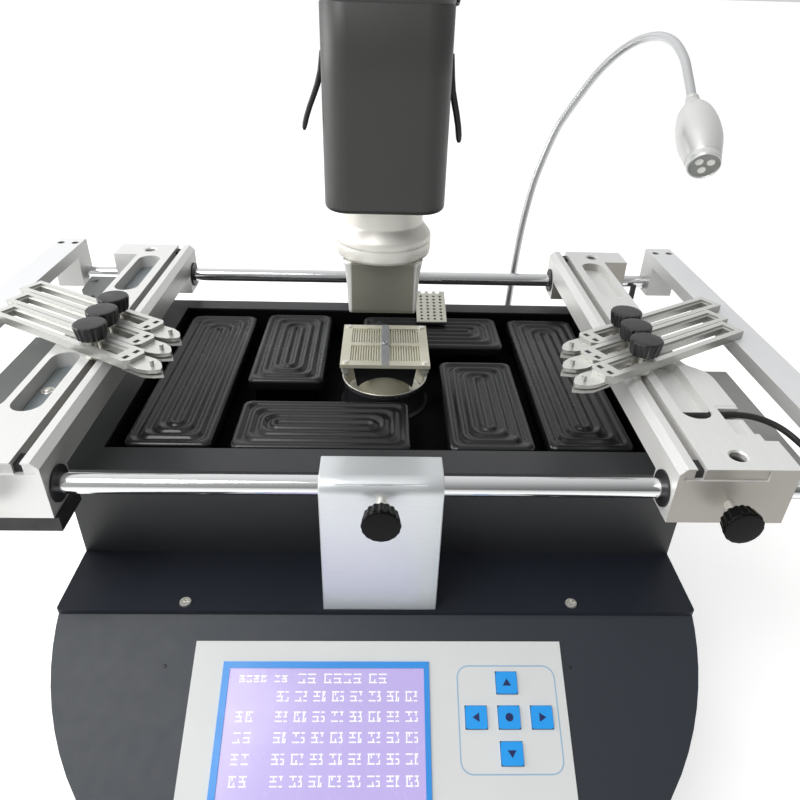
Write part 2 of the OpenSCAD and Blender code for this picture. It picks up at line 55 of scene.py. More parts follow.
# ---------------------------------------------------------------- camera
def make_camera():
    f, pitch, yaw, roll = 674.4, math.radians(31.83), math.radians(1.92), math.radians(-1.71)
    cp, sp, cy, sy = math.cos(pitch), math.sin(pitch), math.cos(yaw), math.sin(yaw)
    fwd = Vector((sy * cp, cy * cp, -sp))
    right = Vector((cy, -sy, 0.0))
    down = fwd.cross(right)
    r = math.cos(roll) * right + math.sin(roll) * down
    d = -math.sin(roll) * right + math.cos(roll) * down
    cam = bpy.data.cameras.new("camera")
    cam.sensor_fit = "HORIZONTAL"
    cam.sensor_width = 36.0
    cam.lens = f / 800.0 * 36.0
    cam.shift_y = -2.0 / 800.0
    cam.clip_start = 0.01
    cam.clip_end = 200.0
    o = bpy.data.objects.new("camera", cam)
    m = Matrix((r, -d, -fwd)).transposed().to_4x4()
    m.translation = P(-0.95, -477.4, HZ + 271.3)
    o.matrix_world = m
    scene.collection.objects.link(o)
    scene.camera = o


make_camera()


# ---------------------------------------------------------------- helpers
def lin(*c):
    """sRGB 0..255 to linear."""
    out = []
    for v in c:
        v /= 255.0
        out.append(v / 12.92 if v <= 0.04045 else ((v + 0.055) / 1.055) ** 2.4)
    return tuple(out)


def obj_from(name, bm, mat, body, smooth=True):
    bmesh.ops.recalc_face_normals(bm, faces=bm.faces[:])
    me = bpy.data.meshes.new(name)
    bm.to_mesh(me)
    bm.free()
    if smooth:
        for p in me.polygons:
            p.use_smooth = True
    me.materials.append(mat)
    o = bpy.data.objects.new(name, me)
    scene.collection.objects.link(o)
    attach(o, body)
    return o


def ring_faces(bm, a, b, close=True):
    n = len(a)
    for i in range(n if close else n - 1):
        j = (i + 1) % n
        bm.faces.new((a[i], a[j], b[j], b[i]))


def catmull(pts, step):
    """Even points on a smooth curve through pts (mm)."""
    pts = [Vector(p) for p in pts]
    p = [pts[0] * 2 - pts[1]] + pts + [pts[-1] * 2 - pts[-2]]
    dense = []
    for i in range(1, len(p) - 2):
        for k in range(40):
            t = k / 40.0
            a, b, c, d = p[i - 1], p[i], p[i + 1], p[i + 2]
            dense.append(0.5 * ((2 * b) + (c - a) * t + (2 * a - 5 * b + 4 * c - d) * t * t + (3 * b - a - 3 * c + d) * t ** 3))
    dense.append(pts[-1])
    out, acc = [dense[0]], 0.0
    for a, b in zip(dense, dense[1:]):
        seg = (b - a).length
        while acc + seg >= step:
            a = a + (b - a) * ((step - acc) / seg)
            out.append(a.copy())
            seg = (b - a).length
            acc = 0.0
        acc += seg
    if (out[-1] - dense[-1]).length > step * 0.3:
        out.append(dense[-1])
    return out


def sweep(bm, pts, radius, seg=16, ref=(1, 0, 0), caps=True):
    """Round tube through pts (mm); radius is a number or a function of the arc length."""
    ref = Vector(ref)
    rings, s = [], 0.0
    for i, c in enumerate(pts):
        t = (pts[min(i + 1, len(pts) - 1)] - pts[max(i - 1, 0)]).normalized()
        a = t.cross(ref).normalized()
        b = t.cross(a)
        if i:
            s += (c - pts[i - 1]).length
        r = radius(s) if callable(radius) else radius
        rings.append([bm.verts.new(P(*(c + r * (math.cos(2 * math.pi * k / seg) * a + math.sin(2 * math.pi * k / seg) * b)))) for k in range(seg)])
    for a, b in zip(rings, rings[1:]):
        ring_faces(bm, a, b)
    if caps:
        bm.faces.new(rings[0])
        bm.faces.new(rings[-1])


def lathe(bm, profile, seg, frame_m, wave=None, loop=False):
    """Rings of (radius, z) in mm turned round Z of frame_m; wave(angle, k) scales the radius of ring k."""
    rings = []
    for k, (r, z) in enumerate(profile):
        row = []
        for i in range(seg):
            a = 2 * math.pi * i / seg
            q = r * (wave(a, k) if wave else 1.0)
            row.append(bm.verts.new(P(*(frame_m @ Vector((q * math.cos(a), q * math.sin(a), z))))))
        rings.append(row)
    for a, b in zip(rings, rings[1:]):
        ring_faces(bm, a, b)
    if loop:
        ring_faces(bm, rings[-1], rings[0])
    else:
        bm.faces.new(rings[0])
        bm.faces.new(rings[-1])


def turned(x, y, z, rot):
    """Frame at a place with Euler angles in degrees, applied X then Y then Z."""
    m = Matrix.Translation((x, y, z))
    for ang, ax in reversed(list(zip(rot, "XYZ"))):
        m = m @ Matrix.Rotation(math.radians(ang), 4, ax)
    return m


def box(bm, m, lo, hi, bevel=0.0):
    """Box in mm in frame m, edges bevelled."""
    vs = []
    for x in (lo[0], hi[0]):
        for y in (lo[1], hi[1]):
            for z in (lo[2], hi[2]):
                vs.append(bm.verts.new(P(*(m @ Vector((x, y, z))))))
    fs = []
    for q in ((0, 1, 3, 2), (4, 6, 7, 5), (0, 4, 5, 1), (2, 3, 7, 6), (0, 2, 6, 4), (1, 5, 7, 3)):
        fs.append(bm.faces.new([vs[i] for i in q]))
    if bevel:
        es = {e for f in fs for e in f.edges}
        bmesh.ops.bevel(bm, geom=list(es), offset=bevel * MM, segments=2, affect="EDGES", profile=0.6)


# ---------------------------------------------------------------- materials
def surface(name, col, rough, metal=0.0, var=0.06, vscale=25.0, rvar=0.06, rscale=120.0, bump=0.15, bscale=900.0,
            stretch=(1, 1, 1), spec=0.5, coat=0.0, coat_rough=0.1, edge=None, edge_amt=0.5, dist=0.0003, tint=None, spots=0.0, aniso=0.0):
    m = bpy.data.materials.new(name)
    m.use_nodes = True
    nt = m.node_tree
    nt.nodes.clear()
    N, L = nt.nodes.new, nt.links.new
    out = N("ShaderNodeOutputMaterial")
    b = N("ShaderNodeBsdfPrincipled")
    L(b.outputs[0], out.inputs[0])
    b.inputs["Metallic"].default_value = metal
    b.inputs["Specular IOR Level"].default_value = spec
    b.inputs["Coat Weight"].default_value = coat
    b.inputs["Coat Roughness"].default_value = coat_rough
    b.inputs["Anisotropic"].default_value = aniso
    tc = N("ShaderNodeTexCoord")
    mp = N("ShaderNodeMapping")
    mp.inputs["Scale"].default_value = stretch
    L(tc.outputs["Object"], mp.inputs[0])
    n1 = N("ShaderNodeTexNoise")
    n1.inputs["Scale"].default_value = vscale
    n1.inputs["Detail"].default_value = 5.0
    L(mp.outputs[0], n1.inputs["Vector"])
    ramp = N("ShaderNodeValToRGB")
    lo = tuple(max(0.0, c * (1 - var)) for c in col)
    hi = tuple(min(1.0, c * (1 + var)) for c in (tint or col))
    ramp.color_ramp.elements[0].position = 0.3
    ramp.color_ramp.elements[1].position = 0.7
    ramp.color_ramp.elements[0].color = (*lo, 1)
    ramp.color_ramp.elements[1].color = (*hi, 1)
    L(n1.outputs["Fac"], ramp.inputs[0])
    colour = ramp.outputs[0]
    if spots:
        n4 = N("ShaderNodeTexNoise")
        n4.inputs["Scale"].default_value = 350.0
        n4.inputs["Detail"].default_value = 2.0
        L(tc.outputs["Object"], n4.inputs["Vector"])
        r4 = N("ShaderNodeMapRange")
        r4.inputs["From Min"].default_value = 0.60
        r4.inputs["From Max"].default_value = 0.72
        r4.inputs["To Max"].default_value = spots
        L(n4.outputs["Fac"], r4.inputs["Value"])
        mx = N("ShaderNodeMix")
        mx.data_type = "RGBA"
        L(r4.outputs[0], mx.inputs["Factor"])
        L(colour, mx.inputs["A"])
        mx.inputs["B"].default_value = (*[min(1.0, c * 1.7 + 0.02) for c in col], 1)
        colour = mx.outputs["Result"]
    if edge:
        g = N("ShaderNodeNewGeometry")
        r2 = N("ShaderNodeMapRange")
        r2.inputs["From Min"].default_value = 0.52
        r2.inputs["From Max"].default_value = 0.60
        r2.inputs["To Max"].default_value = edge_amt
        L(g.outputs["Pointiness"], r2.inputs["Value"])
        mx = N("ShaderNodeMix")
        mx.data_type = "RGBA"
        L(r2.outputs[0], mx.inputs["Factor"])
        L(colour, mx.inputs["A"])
        mx.inputs["B"].default_value = (*edge, 1)
        colour = mx.outputs["Result"]
    L(colour, b.inputs["Base Color"])
    n2 = N("ShaderNodeTexNoise")
    n2.inputs["Scale"].default_value = rscale
    n2.inputs["Detail"].default_value = 4.0
    L(mp.outputs[0], n2.inputs["Vector"])
    mr = N("ShaderNodeMapRange")
    mr.inputs["From Min"].default_value = 0.3
    mr.inputs["From Max"].default_value = 0.7
    mr.inputs["To Min"].default_value = max(0.02, rough - rvar)
    mr.inputs["To Max"].default_value = min(1.0, rough + rvar)
    L(n2.outputs["Fac"], mr.inputs["Value"])
    L(mr.outputs[0], b.inputs["Roughness"])
    n3 = N("ShaderNodeTexNoise")
    n3.inputs["Scale"].default_value = bscale
    n3.inputs["Detail"].default_value = 3.0
    L(mp.outputs[0], n3.inputs["Vector"])
    bp = N("ShaderNodeBump")
    bp.inputs["Strength"].default_value = bump
    bp.inputs["Distance"].default_value = dist
    L(n3.outputs["Fac"], bp.inputs["Height"])
    L(bp.outputs[0], b.inputs["Normal"])
    return m


def glow(m, col, strength):
    b = next(n for n in m.node_tree.nodes if n.type == "BSDF_PRINCIPLED")
    b.inputs["Emission Color"].default_value = (*col, 1)
    b.inputs["Emission Strength"].default_value = strength
    return m


def paint_well_shade(m, col):
    """Paints shade onto the sheet where it lines the heater opening: near-black painted shade of the recess."""
    nt = m.node_tree
    N, L = nt.nodes.new, nt.links.new
    b = next(n for n in nt.nodes if n.type == "BSDF_PRINCIPLED")
    src = b.inputs["Base Color"].links[0].from_socket
    g = N("ShaderNodeNewGeometry")
    sep = N("ShaderNodeSeparateXYZ")
    L(g.outputs["Position"], sep.inputs[0])

    def math_node(op, a, v):
        n = N("ShaderNodeMath")
        n.operation = op
        L(a, n.inputs[0])
        if isinstance(v, float):
            n.inputs[1].default_value = v
        elif v is not None:
            L(v, n.inputs[1])
        return n.outputs[0]

    mx = math_node("LESS_THAN", math_node("ABSOLUTE", math_node("SUBTRACT", sep.outputs[0], FX * MM), None), 0.1843)
    my = math_node("LESS_THAN", math_node("ABSOLUTE", math_node("SUBTRACT", sep.outputs[1], FY * MM), None), 0.1118)
    mz = math_node("LESS_THAN", sep.outputs[2], 0.2343)
    mask = math_node("MULTIPLY", math_node("MULTIPLY", mx, my), mz)
    mix = N("ShaderNodeMix")
    mix.data_type = "RGBA"
    L(mask, mix.inputs["Factor"])
    L(src, mix.inputs["A"])
    mix.inputs["B"].default_value = (*col, 1)
    L(mix.outputs["Result"], b.inputs["Base Color"])
    return m


def paint_upright_shade(m, col):
    """Paints shade onto upright faces, lighter or darker by how light falls on them; the tops keep the metal's colour.
    """
    nt = m.node_tree
    N, L = nt.nodes.new, nt.links.new
    b = next(n for n in nt.nodes if n.type == "BSDF_PRINCIPLED")
    src = b.inputs["Base Color"].links[0].from_socket
    g = N("ShaderNodeNewGeometry")
    sep = N("ShaderNodeSeparateXYZ")
    L(g.outputs["Normal"], sep.inputs[0])
    r = N("ShaderNodeMapRange")
    r.inputs["From Min"].default_value = 0.15
    r.inputs["From Max"].default_value = 0.6
    r.inputs["To Min"].default_value = 1.0
    r.inputs["To Max"].default_value = 0.0
    L(sep.outputs[2], r.inputs["Value"])
    mix = N("ShaderNodeMix")
    mix.data_type = "RGBA"
    L(r.outputs[0], mix.inputs["Factor"])
    L(src, mix.inputs["A"])
    mix.inputs["B"].default_value = (*col, 1)
    L(mix.outputs["Result"], b.inputs["Base Color"])
    return m


def paint_front_lighting(m, col):
    """Gives the faces that point to the front a tone of their own: painted light where it is brighter, painted shade
    where it is darker.
    """
    nt = m.node_tree
    N, L = nt.nodes.new, nt.links.new
    b = next(n for n in nt.nodes if n.type == "BSDF_PRINCIPLED")
    src = b.inputs["Base Color"].links[0].from_socket
    tc = N("ShaderNodeTexCoord")
    sep = N("ShaderNodeSeparateXYZ")
    L(tc.outputs["Normal"], sep.inputs[0])
    r = N("ShaderNodeMapRange")
    r.inputs["From Min"].default_value = -0.5
    r.inputs["From Max"].default_value = -0.9
    L(sep.outputs[1], r.inputs["Value"])
    mix = N("ShaderNodeMix")
    mix.data_type = "RGBA"
    L(r.outputs[0], mix.inputs["Factor"])
    L(src, mix.inputs["A"])
    mix.inputs["B"].default_value = (*col, 1)
    L(mix.outputs["Result"], b.inputs["Base Color"])
    return m


def paint_corner_highlight(m, col):
    """Paints a bright highlight onto the rounded corners of a formed sheet, brighter than its flats."""
    nt = m.node_tree
    N, L = nt.nodes.new, nt.links.new
    b = next(n for n in nt.nodes if n.type == "BSDF_PRINCIPLED")
    src = b.inputs["Base Color"].links[0].from_socket
    tc = N("ShaderNodeTexCoord")
    sep = N("ShaderNodeSeparateXYZ")
    L(tc.outputs["Normal"], sep.inputs[0])
    pr = N("ShaderNodeMath")
    pr.operation = "MULTIPLY"
    L(sep.outputs[0], pr.inputs[0])
    L(sep.outputs[1], pr.inputs[1])
    ab = N("ShaderNodeMath")
    ab.operation = "ABSOLUTE"
    L(pr.outputs[0], ab.inputs[0])
    r = N("ShaderNodeMapRange")
    r.inputs["From Min"].default_value = 0.06
    r.inputs["From Max"].default_value = 0.34
    L(ab.outputs[0], r.inputs["Value"])
    mix = N("ShaderNodeMix")
    mix.data_type = "RGBA"
    L(r.outputs[0], mix.inputs["Factor"])
    L(src, mix.inputs["A"])
    mix.inputs["B"].default_value = (*col, 1)
    L(mix.outputs["Result"], b.inputs["Base Color"])
    return m


ALU_X = (2, 60, 60)
ALU_Y = (60, 2, 60)
M = {
    "base_paint": surface("base_paint", lin(44, 50, 58), 0.44, var=0.03, rvar=0.02, bump=0.22, bscale=1600, spec=0.45),
    "lid_paint": surface("lid_paint", lin(32, 36, 45), 0.46, var=0.04, rvar=0.02, bump=0.22, bscale=1600, spec=0.3),
    "rubber": surface("rubber", lin(30, 30, 30), 0.8, var=0.15, bump=0.4, bscale=700),
    "label": surface("label", lin(224, 226, 225), 0.42, var=0.015, bump=0.10, bscale=2200, rvar=0.04, spec=0.4),
    "display_frame": surface("display_frame", lin(40, 148, 234), 0.38, var=0.04, bump=0.08, bscale=2000, coat=0.2),
    "display_screen": glow(surface("display_screen", lin(188, 174, 228), 0.24, var=0.03, vscale=14, bump=0.03, coat=0.25, coat_rough=0.1), lin(190, 174, 232), 0.16),
    "keys": surface("keys", lin(24, 160, 246), 0.36, var=0.05, bump=0.12, bscale=1500, coat=0.2),
    "screw_steel": surface("screw_steel", lin(240, 238, 230), 0.30, metal=0.7, var=0.06, vscale=200, bump=0.06),
    # deck paint: painted shade where it lines the heater well
    "deck_paint": paint_well_shade(surface("deck_paint", lin(52, 53, 55), 0.42, var=0.03, rvar=0.02, bump=0.24, bscale=1500, spec=0.45), lin(18, 18, 20)),
    "ceramic": surface("ceramic", lin(23, 24, 24), 0.30, var=0.12, vscale=14, rvar=0.04, rscale=40, bump=0.0, spec=0.45, coat=0.2, coat_rough=0.22),
    "cup_steel": surface("cup_steel", lin(226, 225, 218), 0.30, metal=0.8, var=0.05, vscale=60, rvar=0.05, bump=0.02, tint=lin(216, 213, 200)),
    "duct": surface("duct", lin(36, 36, 39), 0.45, var=0.12, bump=0.15, spec=0.4),
    "plate_steel": surface("plate_steel", lin(228, 226, 208), 0.42, metal=0.45, var=0.05, vscale=80, rvar=0.06, bump=0.06, tint=lin(216, 213, 192)),
    "bracket_alu": surface("bracket_alu", lin(222, 226, 228), 0.38, metal=0.7, var=0.02, vscale=30, stretch=ALU_X, bump=0.05, bscale=260, rscale=60),
    "rod_chrome": surface("rod_chrome", lin(232, 233, 234), 0.13, metal=1.0, var=0.02, rvar=0.01, bump=0.0),
    # bar, slide and claw metals carry painted shade on their upright faces
    "bar_alu": paint_upright_shade(surface("bar_alu", lin(240, 241, 242), 0.46, metal=0.4, var=0.02, stretch=ALU_Y, bump=0.05, bscale=220, rscale=50), lin(196, 196, 194)),
    "slide_alu": paint_upright_shade(surface("slide_alu", lin(236, 237, 235), 0.40, metal=0.35, var=0.03, stretch=ALU_Y, bump=0.05, bscale=220, rscale=50), lin(206, 204, 199)),
    "black_plastic": surface("black_plastic", lin(30, 30, 32), 0.5, var=0.12, bump=0.25, bscale=1100),
    "window_grey": surface("window_grey", lin(150, 158, 162), 0.42, metal=0.35, var=0.10, vscale=40, bump=0.06),
    "wing_grey": surface("wing_grey", lin(160, 161, 158), 0.44, metal=0.25, var=0.05, stretch=ALU_Y, bump=0.08, bscale=220),
    "claw_steel": paint_upright_shade(surface("claw_steel", lin(230, 230, 226), 0.34, metal=0.7, var=0.04, stretch=(20, 20, 60), bump=0.06, bscale=300, rscale=60), lin(180, 180, 176)),
    "column_alu": surface("column_alu", lin(200, 202, 204), 0.38, metal=0.8, var=0.03, stretch=(60, 60, 2), bump=0.06, bscale=220),
    "head_paint": surface("head_paint", lin(62, 62, 61), 0.40, var=0.03, rvar=0.02, bump=0.24, bscale=1500, spec=0.5),
    "neck_steel": surface("neck_steel", lin(240, 238, 230), 0.42, metal=0.45, var=0.02, vscale=30, rvar=0.03, bump=0.01, bscale=200),
    "lever_black": surface("lever_black", lin(36, 36, 36), 0.4, var=0.1, bump=0.15),
    "arm_paint": surface("arm_paint", lin(84, 86, 88), 0.44, var=0.05, bump=0.3, bscale=1400),
    # nozzle steel: painted highlight on its rounded corners
    "nozzle_steel": paint_corner_highlight(surface("nozzle_steel", lin(146, 145, 134), 0.34, metal=0.5, var=0.04, vscale=30, stretch=(4, 4, 60), rvar=0.04, bump=0.02, bscale=200, tint=lin(138, 137, 124)), lin(250, 250, 246)),
    "outlet_steel": surface("outlet_steel", lin(220, 219, 206), 0.42, metal=0.45, var=0.05, vscale=90, bump=0.06),
    "gooseneck": surface("gooseneck", lin(214, 215, 216), 0.34, metal=0.7, var=0.05, bump=0.03),
    "lamp_silver": surface("lamp_silver", lin(234, 235, 233), 0.34, metal=0.45, var=0.03, bump=0.06, bscale=1200),
    "lens": surface("lens", lin(150, 152, 148), 0.10, var=0.10, vscale=120, bump=0.05, coat=0.6, coat_rough=0.05),
    "knob_gloss": surface("knob_gloss", lin(7, 7, 8), 0.22, var=0.12, bump=0.06, bscale=1200, spec=0.12),
    "knob_black": surface("knob_black", lin(15, 16, 18), 0.36, var=0.12, bump=0.12, bscale=1200, spec=0.55, coat=0.12, coat_rough=0.3),
    "lead": surface("lead", lin(32, 32, 30), 0.5, var=0.12, bump=0.3, bscale=1500),
}
slot_of = {s["node"]: s["material_slot"] for s in frame["record"]["subparts"]}
for name, o in nodes.items():
    o.data.materials.clear()
    o.data.materials.append(M[slot_of[name]])
# slides: lit and shaded copies of the slide metal; the right one gets painted shade on its front, the left one painted
# shade on its upright faces and painted light on its front
nodes["slide_right"].data.materials[0] = paint_front_lighting(paint_upright_shade(surface("slide_alu_r_light_shade", lin(236, 237, 235), 0.40, metal=0.35, var=0.03, stretch=ALU_Y, bump=0.05, bscale=220, rscale=50), lin(232, 231, 228)), lin(172, 168, 161))
nodes["slide_left"].data.materials[0] = paint_front_lighting(paint_upright_shade(surface("slide_alu_l_light_shade", lin(236, 237, 235), 0.40, metal=0.35, var=0.03, stretch=ALU_Y, bump=0.05, bscale=220, rscale=50), lin(188, 187, 184)), lin(240, 240, 238))
# left wing: a shaded copy of the wing grey, painted shade
nodes["wing_left"].data.materials[0] = surface("wing_grey_shaded", lin(118, 122, 120), 0.44, metal=0.3, var=0.05, stretch=ALU_Y, bump=0.08, bscale=220)


def bevel(name, width, seg=2, angle=35):
    b = nodes[name].modifiers.new("edge", "BEVEL")
    b.width = width * MM
    b.segments = seg
    b.limit_method = "ANGLE"
    b.angle_limit = math.radians(angle)
    b.use_clamp_overlap = True
    b.harden_normals = False
    w = nodes[name].modifiers.new("normals", "WEIGHTED_NORMAL")
    w.keep_sharp = False


for n_, w_ in (("slide_left", 1.0), ("slide_right", 1.0), ("end_bar_left", 0.8), ("end_bar_right", 0.8), ("deck_box", 0.8), ("base_lid", 0.7),
               ("wing_left", 0.4), ("wing_right", 0.4), ("head_arm", 1.0), ("panel_label", 0.15), ("display_frame", 0.2),
               ("claw_l1", 0.35), ("claw_l2", 0.35), ("claw_l3", 0.35), ("claw_r1", 0.35), ("claw_r2", 0.35), ("claw_r3", 0.35)):
    bevel(n_, w_)
bevel("bracket_front", 0.4, 2, 60)
bevel("bracket_rear", 0.4, 2, 60)
bevel("head", 5.0, 5, 60)

# ---------------------------------------------------------------- free lead
LEAD = [[187, -126.5, 275], [200, -126.5, 275], [212.6, -126, 275], [221.2, -124.8, 275], [229.5, -125.2, 274.9], [238.3, -127.4, 274], [246.2, -130.8, 272],
        [252.2, -135.6, 269.9], [257, -142, 267], [262.5, -147.5, 263], [270, -151, 257], [279, -152, 249], [288, -152.3, 240], [296.5, -152.5, 225], [303, -152.5, 203],
        [310, -152.5, 178], [317, -153, 150], [325, -153.5, 118], [332, -154, 86], [340, -155, 56], [348, -156.3, 29], [355, -157.6, 13.5], [361, -158.6, 8.6],
        [368, -159.5, 4.4], [376, -160, 2.2]]


def make_lead():
    pts = catmull(LEAD, 9.6)[:-1]
    cx, cy, r0, r1 = 376.0, -186.3, 26.3, 22.0
    turns, per = 4, 24
    for k in range(turns * per + 1):
        t = k / per                                   # turns made
        a = math.pi / 2 - 2 * math.pi * t
        if t < 1:
            r, z = r0, 2.2
        elif t < 2:
            r, z = r0 + (r1 - r0) * min(1.0, (t - 1) / 0.25), 2.2
        elif t < 3:
            r, z = r1, 2.2 + 4.1 * min(1.0, (t - 2) / 0.25)
        else:
            r, z = r1 + (r0 - r1) * min(1.0, (t - 3) / 0.25), 6.3
        pts.append(Vector((cx + r * math.cos(a), cy + r * math.sin(a), z)))
    tail = catmull([pts[-1], Vector((388, -160.4, 6.2)), Vector((398, -162.8, 5.4)), Vector((408.5, -166, 4.7))], 6.0)[1:]
    pts += tail
    cu = bpy.data.curves.new("lead_cord", "CURVE")
    cu.dimensions = "3D"
    cu.bevel_depth = 0.002
    cu.bevel_resolution = 4
    cu.use_fill_caps = True
    sp = cu.splines.new("NURBS")
    sp.points.add(len(pts) - 1)
    sp.order_u = 4
    sp.use_endpoint_u = True
    sp.resolution_u = 5
    for q, v in zip(sp.points, pts):
        q.co = (*P(*v), 1)
    cu.materials.append(M["lead"])
    o = bpy.data.objects.new("lead_cord", cu)
    scene.collection.objects.link(o)
    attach(o, "right_slide")
    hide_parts("lead", "lead_coil")
    # moulded plug with grip ridges and two flat pins
    bm = bmesh.new()
    m = turned(408, -166, 4.7, (0, 0, 0))
    box(bm, m, (1, -8, -4.4), (24, 8, 4.4), 1.4)
    for k in range(5):
        box(bm, m, (4 + 3.2 * k, -8.1, -4.0), (5.6 + 3.2 * k, 8.1, 4.6), 0.4)
    for y in (-4.6, 3.2):
        box(bm, m, (23.5, y, -1.3), (33.5, y + 1.4, 1.7), 0.3)
    lathe(bm, [(2.05, -1.0), (3.4, 1.5), (3.4, 2.6)], 20, m @ Matrix.Rotation(math.pi / 2, 4, "Y"))
    plug = obj_from("lead_connector", bm, M["lead"], "right_slide", smooth=False)
    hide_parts("lead_plug")
    # tapered sleeve where the lead leaves the slide
    bm = bmesh.new()
    lathe(bm, [(2.05, 4.6), (2.3, 4.4), (2.45, 2.0), (2.7, 0.6), (3.4, 0.5), (3.4, -0.6), (2.4, -0.8)], 24, turned(210.4, -126.2, 275, (0, 0, 0)) @ Matrix.Rotation(math.pi / 2, 4, "Y"))
    obj_from("lead_sleeve", bm, M["lead"], "right_slide")


make_lead()


# ---------------------------------------------------------------- ceramic heaters
def rrect(hx, hy, r, n=12):
    """Rounded rectangle as points."""
    pts = []
    for cx, cy, a0 in ((1, 1, 0), (-1, 1, 90), (-1, -1, 180), (1, -1, 270)):
        for k in range(n + 1):
            a = math.radians(a0 + 90 * k / n)
            pts.append((cx * (hx - r) + r * math.cos(a), cy * (hy - r) + r * math.sin(a)))
    return pts


def stack(bm, cx, cy, rings):
    """Closed body of rounded-rectangle rings (half width, half depth, corner radius, z)."""
    rows_ = [[bm.verts.new(P(cx + x, cy + y, z)) for x, y in rrect(hx, hy, r)] for hx, hy, r, z in rings]
    for a, b in zip(rows_, rows_[1:]):
        ring_faces(bm, a, b)
    bm.faces.new(rows_[0])
    bm.faces.new(rows_[-1])


def make_heater(name, cx, cy, w, l, along_y, replaced):
    """Glazed slab: rounded rim, then even soft ridges round the middle; rings step inwards."""
    hx, hy = (w / 2, l / 2) if along_y else (l / 2, w / 2)
    h, rim, pitch, deep = w / 2, 3.2, 7.6, 2.0
    rings = [(hx - 4.5, hy - 4.5, 3.0, -26.5), (hx - 4.5, hy - 4.5, 3.0, -11.0), (hx - 3.6, hy - 3.6, 3.4, -10.6), (hx - 1.4, hy - 1.4, 4.6, -10.2), (hx - 0.3, hy - 0.3, 5.2, -9.4), (hx, hy, 5.5, -8.2)]
    for k in range(9):
        a = math.radians(90 * k / 8)
        d = rim * (1 - math.cos(a))
        rings.append((hx - d, hy - d, 5.5 + 0.18 * d, -rim + rim * math.sin(a)))
    n = int((h - 0.4 - rim) / 0.4)
    for k in range(1, n + 1):
        d = rim + (h - 0.4 - rim) * k / n
        z = -deep * (0.5 - 0.5 * math.cos(2 * math.pi * (d - rim) / pitch))
        rings.append((hx - d, hy - d, min(5.5 + 0.18 * d, h - d - 0.05), z))
    bm = bmesh.new()
    stack(bm, cx, cy, [(a, b, r, HZ + z) for a, b, r, z in rings])
    o = obj_from(name, bm, M["ceramic"], "base")
    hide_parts(*replaced)
    return o


# dark sheet lining the heater well: painted shade of the recess
bm = bmesh.new()
stack(bm, 0, 0, [(150, 80, 2, 205.4), (182.6, 110.1, 1.4, 205.4), (183.1, 110.6, 1.0, 205.7), (183.2, 110.7, 1.0, 206.4), (183.2, 110.7, 1.0, 233.0), (183.35, 110.85, 1.0, 233.4), (183.7, 111.2, 1.0, 233.4), (183.75, 111.25, 1.0, 233.2), (183.75, 111.25, 1.0, 205.1), (150, 80, 2, 205.1)])
obj_from("well_shade_liner", bm, surface("well_shade_black", lin(9, 9, 10), 0.8, var=0.2, vscale=18, bump=0.2, bscale=700, spec=0.08), "base", smooth=False)
make_heater("heater_left", -146.5, 0, 60, 206, True, ["heaters_long"])
make_heater("heater_right", 146.5, 0, 60, 206, True, ["heaters_long"])
make_heater("heater_a", -77, 46, 60, 124, True, ["heaters_short"])
make_heater("heater_b", -41.8, -74.8, 60, 124, False, ["heaters_short"])
make_heater("heater_c", 77, -42.8, 60, 124, True, ["heaters_short"])
make_heater("heater_d", 44, 76, 60, 124, False, ["heaters_short"])


# ---------------------------------------------------------------- knobs
def make_knob(name, m, d, h, body, replaced, stem, sr, flutes=16, extra=(), mat="knob_black"):
    """Flat mushroom cap with a fluted skirt on a steel stem."""
    bm = bmesh.new()
    R = d / 2
    prof = [(R * 0.60, 0.0), (R * 0.80, 0.0), (R * 0.86, 0.3), (R * 0.89, 0.9), (R * 0.91, h * 0.22), (R * 0.93, h * 0.36), (R * 0.955, h * 0.50), (R * 0.985, h * 0.64), (R, h * 0.76), (R, h * 0.86),
            (R * 0.985, h * 0.92), (R * 0.95, h * 0.955), (R * 0.90, h * 0.97), (R * 0.78, h * 0.98), (R * 0.5, h * 0.99), (R * 0.12, h)]
    deep = [0, 0.6, 0.9, 1, 1, 1, 1, 1, 0.9, 0.6, 0.3, 0.1] + [0] * 4

    def wave(a, k):
        return 1.0 - 0.085 * deep[k] * (0.5 - 0.5 * math.cos(flutes * a)) ** 1.3

    lathe(bm, prof, flutes * 8, m, wave)
    o = obj_from(name, bm, M[mat], body)
    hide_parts(*replaced)
    bm = bmesh.new()
    lathe(bm, [(sr * 0.8, -stem), (sr, -stem + 0.5), (sr, -0.9), (sr * 1.5, -0.8), (sr * 1.5, 0.05)], 32, m)
    for lo, hi, r in extra:
        lathe(bm, [(r - 0.3, lo), (r, lo + 0.3), (r, hi - 0.3), (r - 0.3, hi)], 32, m)
    st = obj_from(name + "_stem", bm, M["screw_steel"], body, smooth=False)
    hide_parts(*replaced)


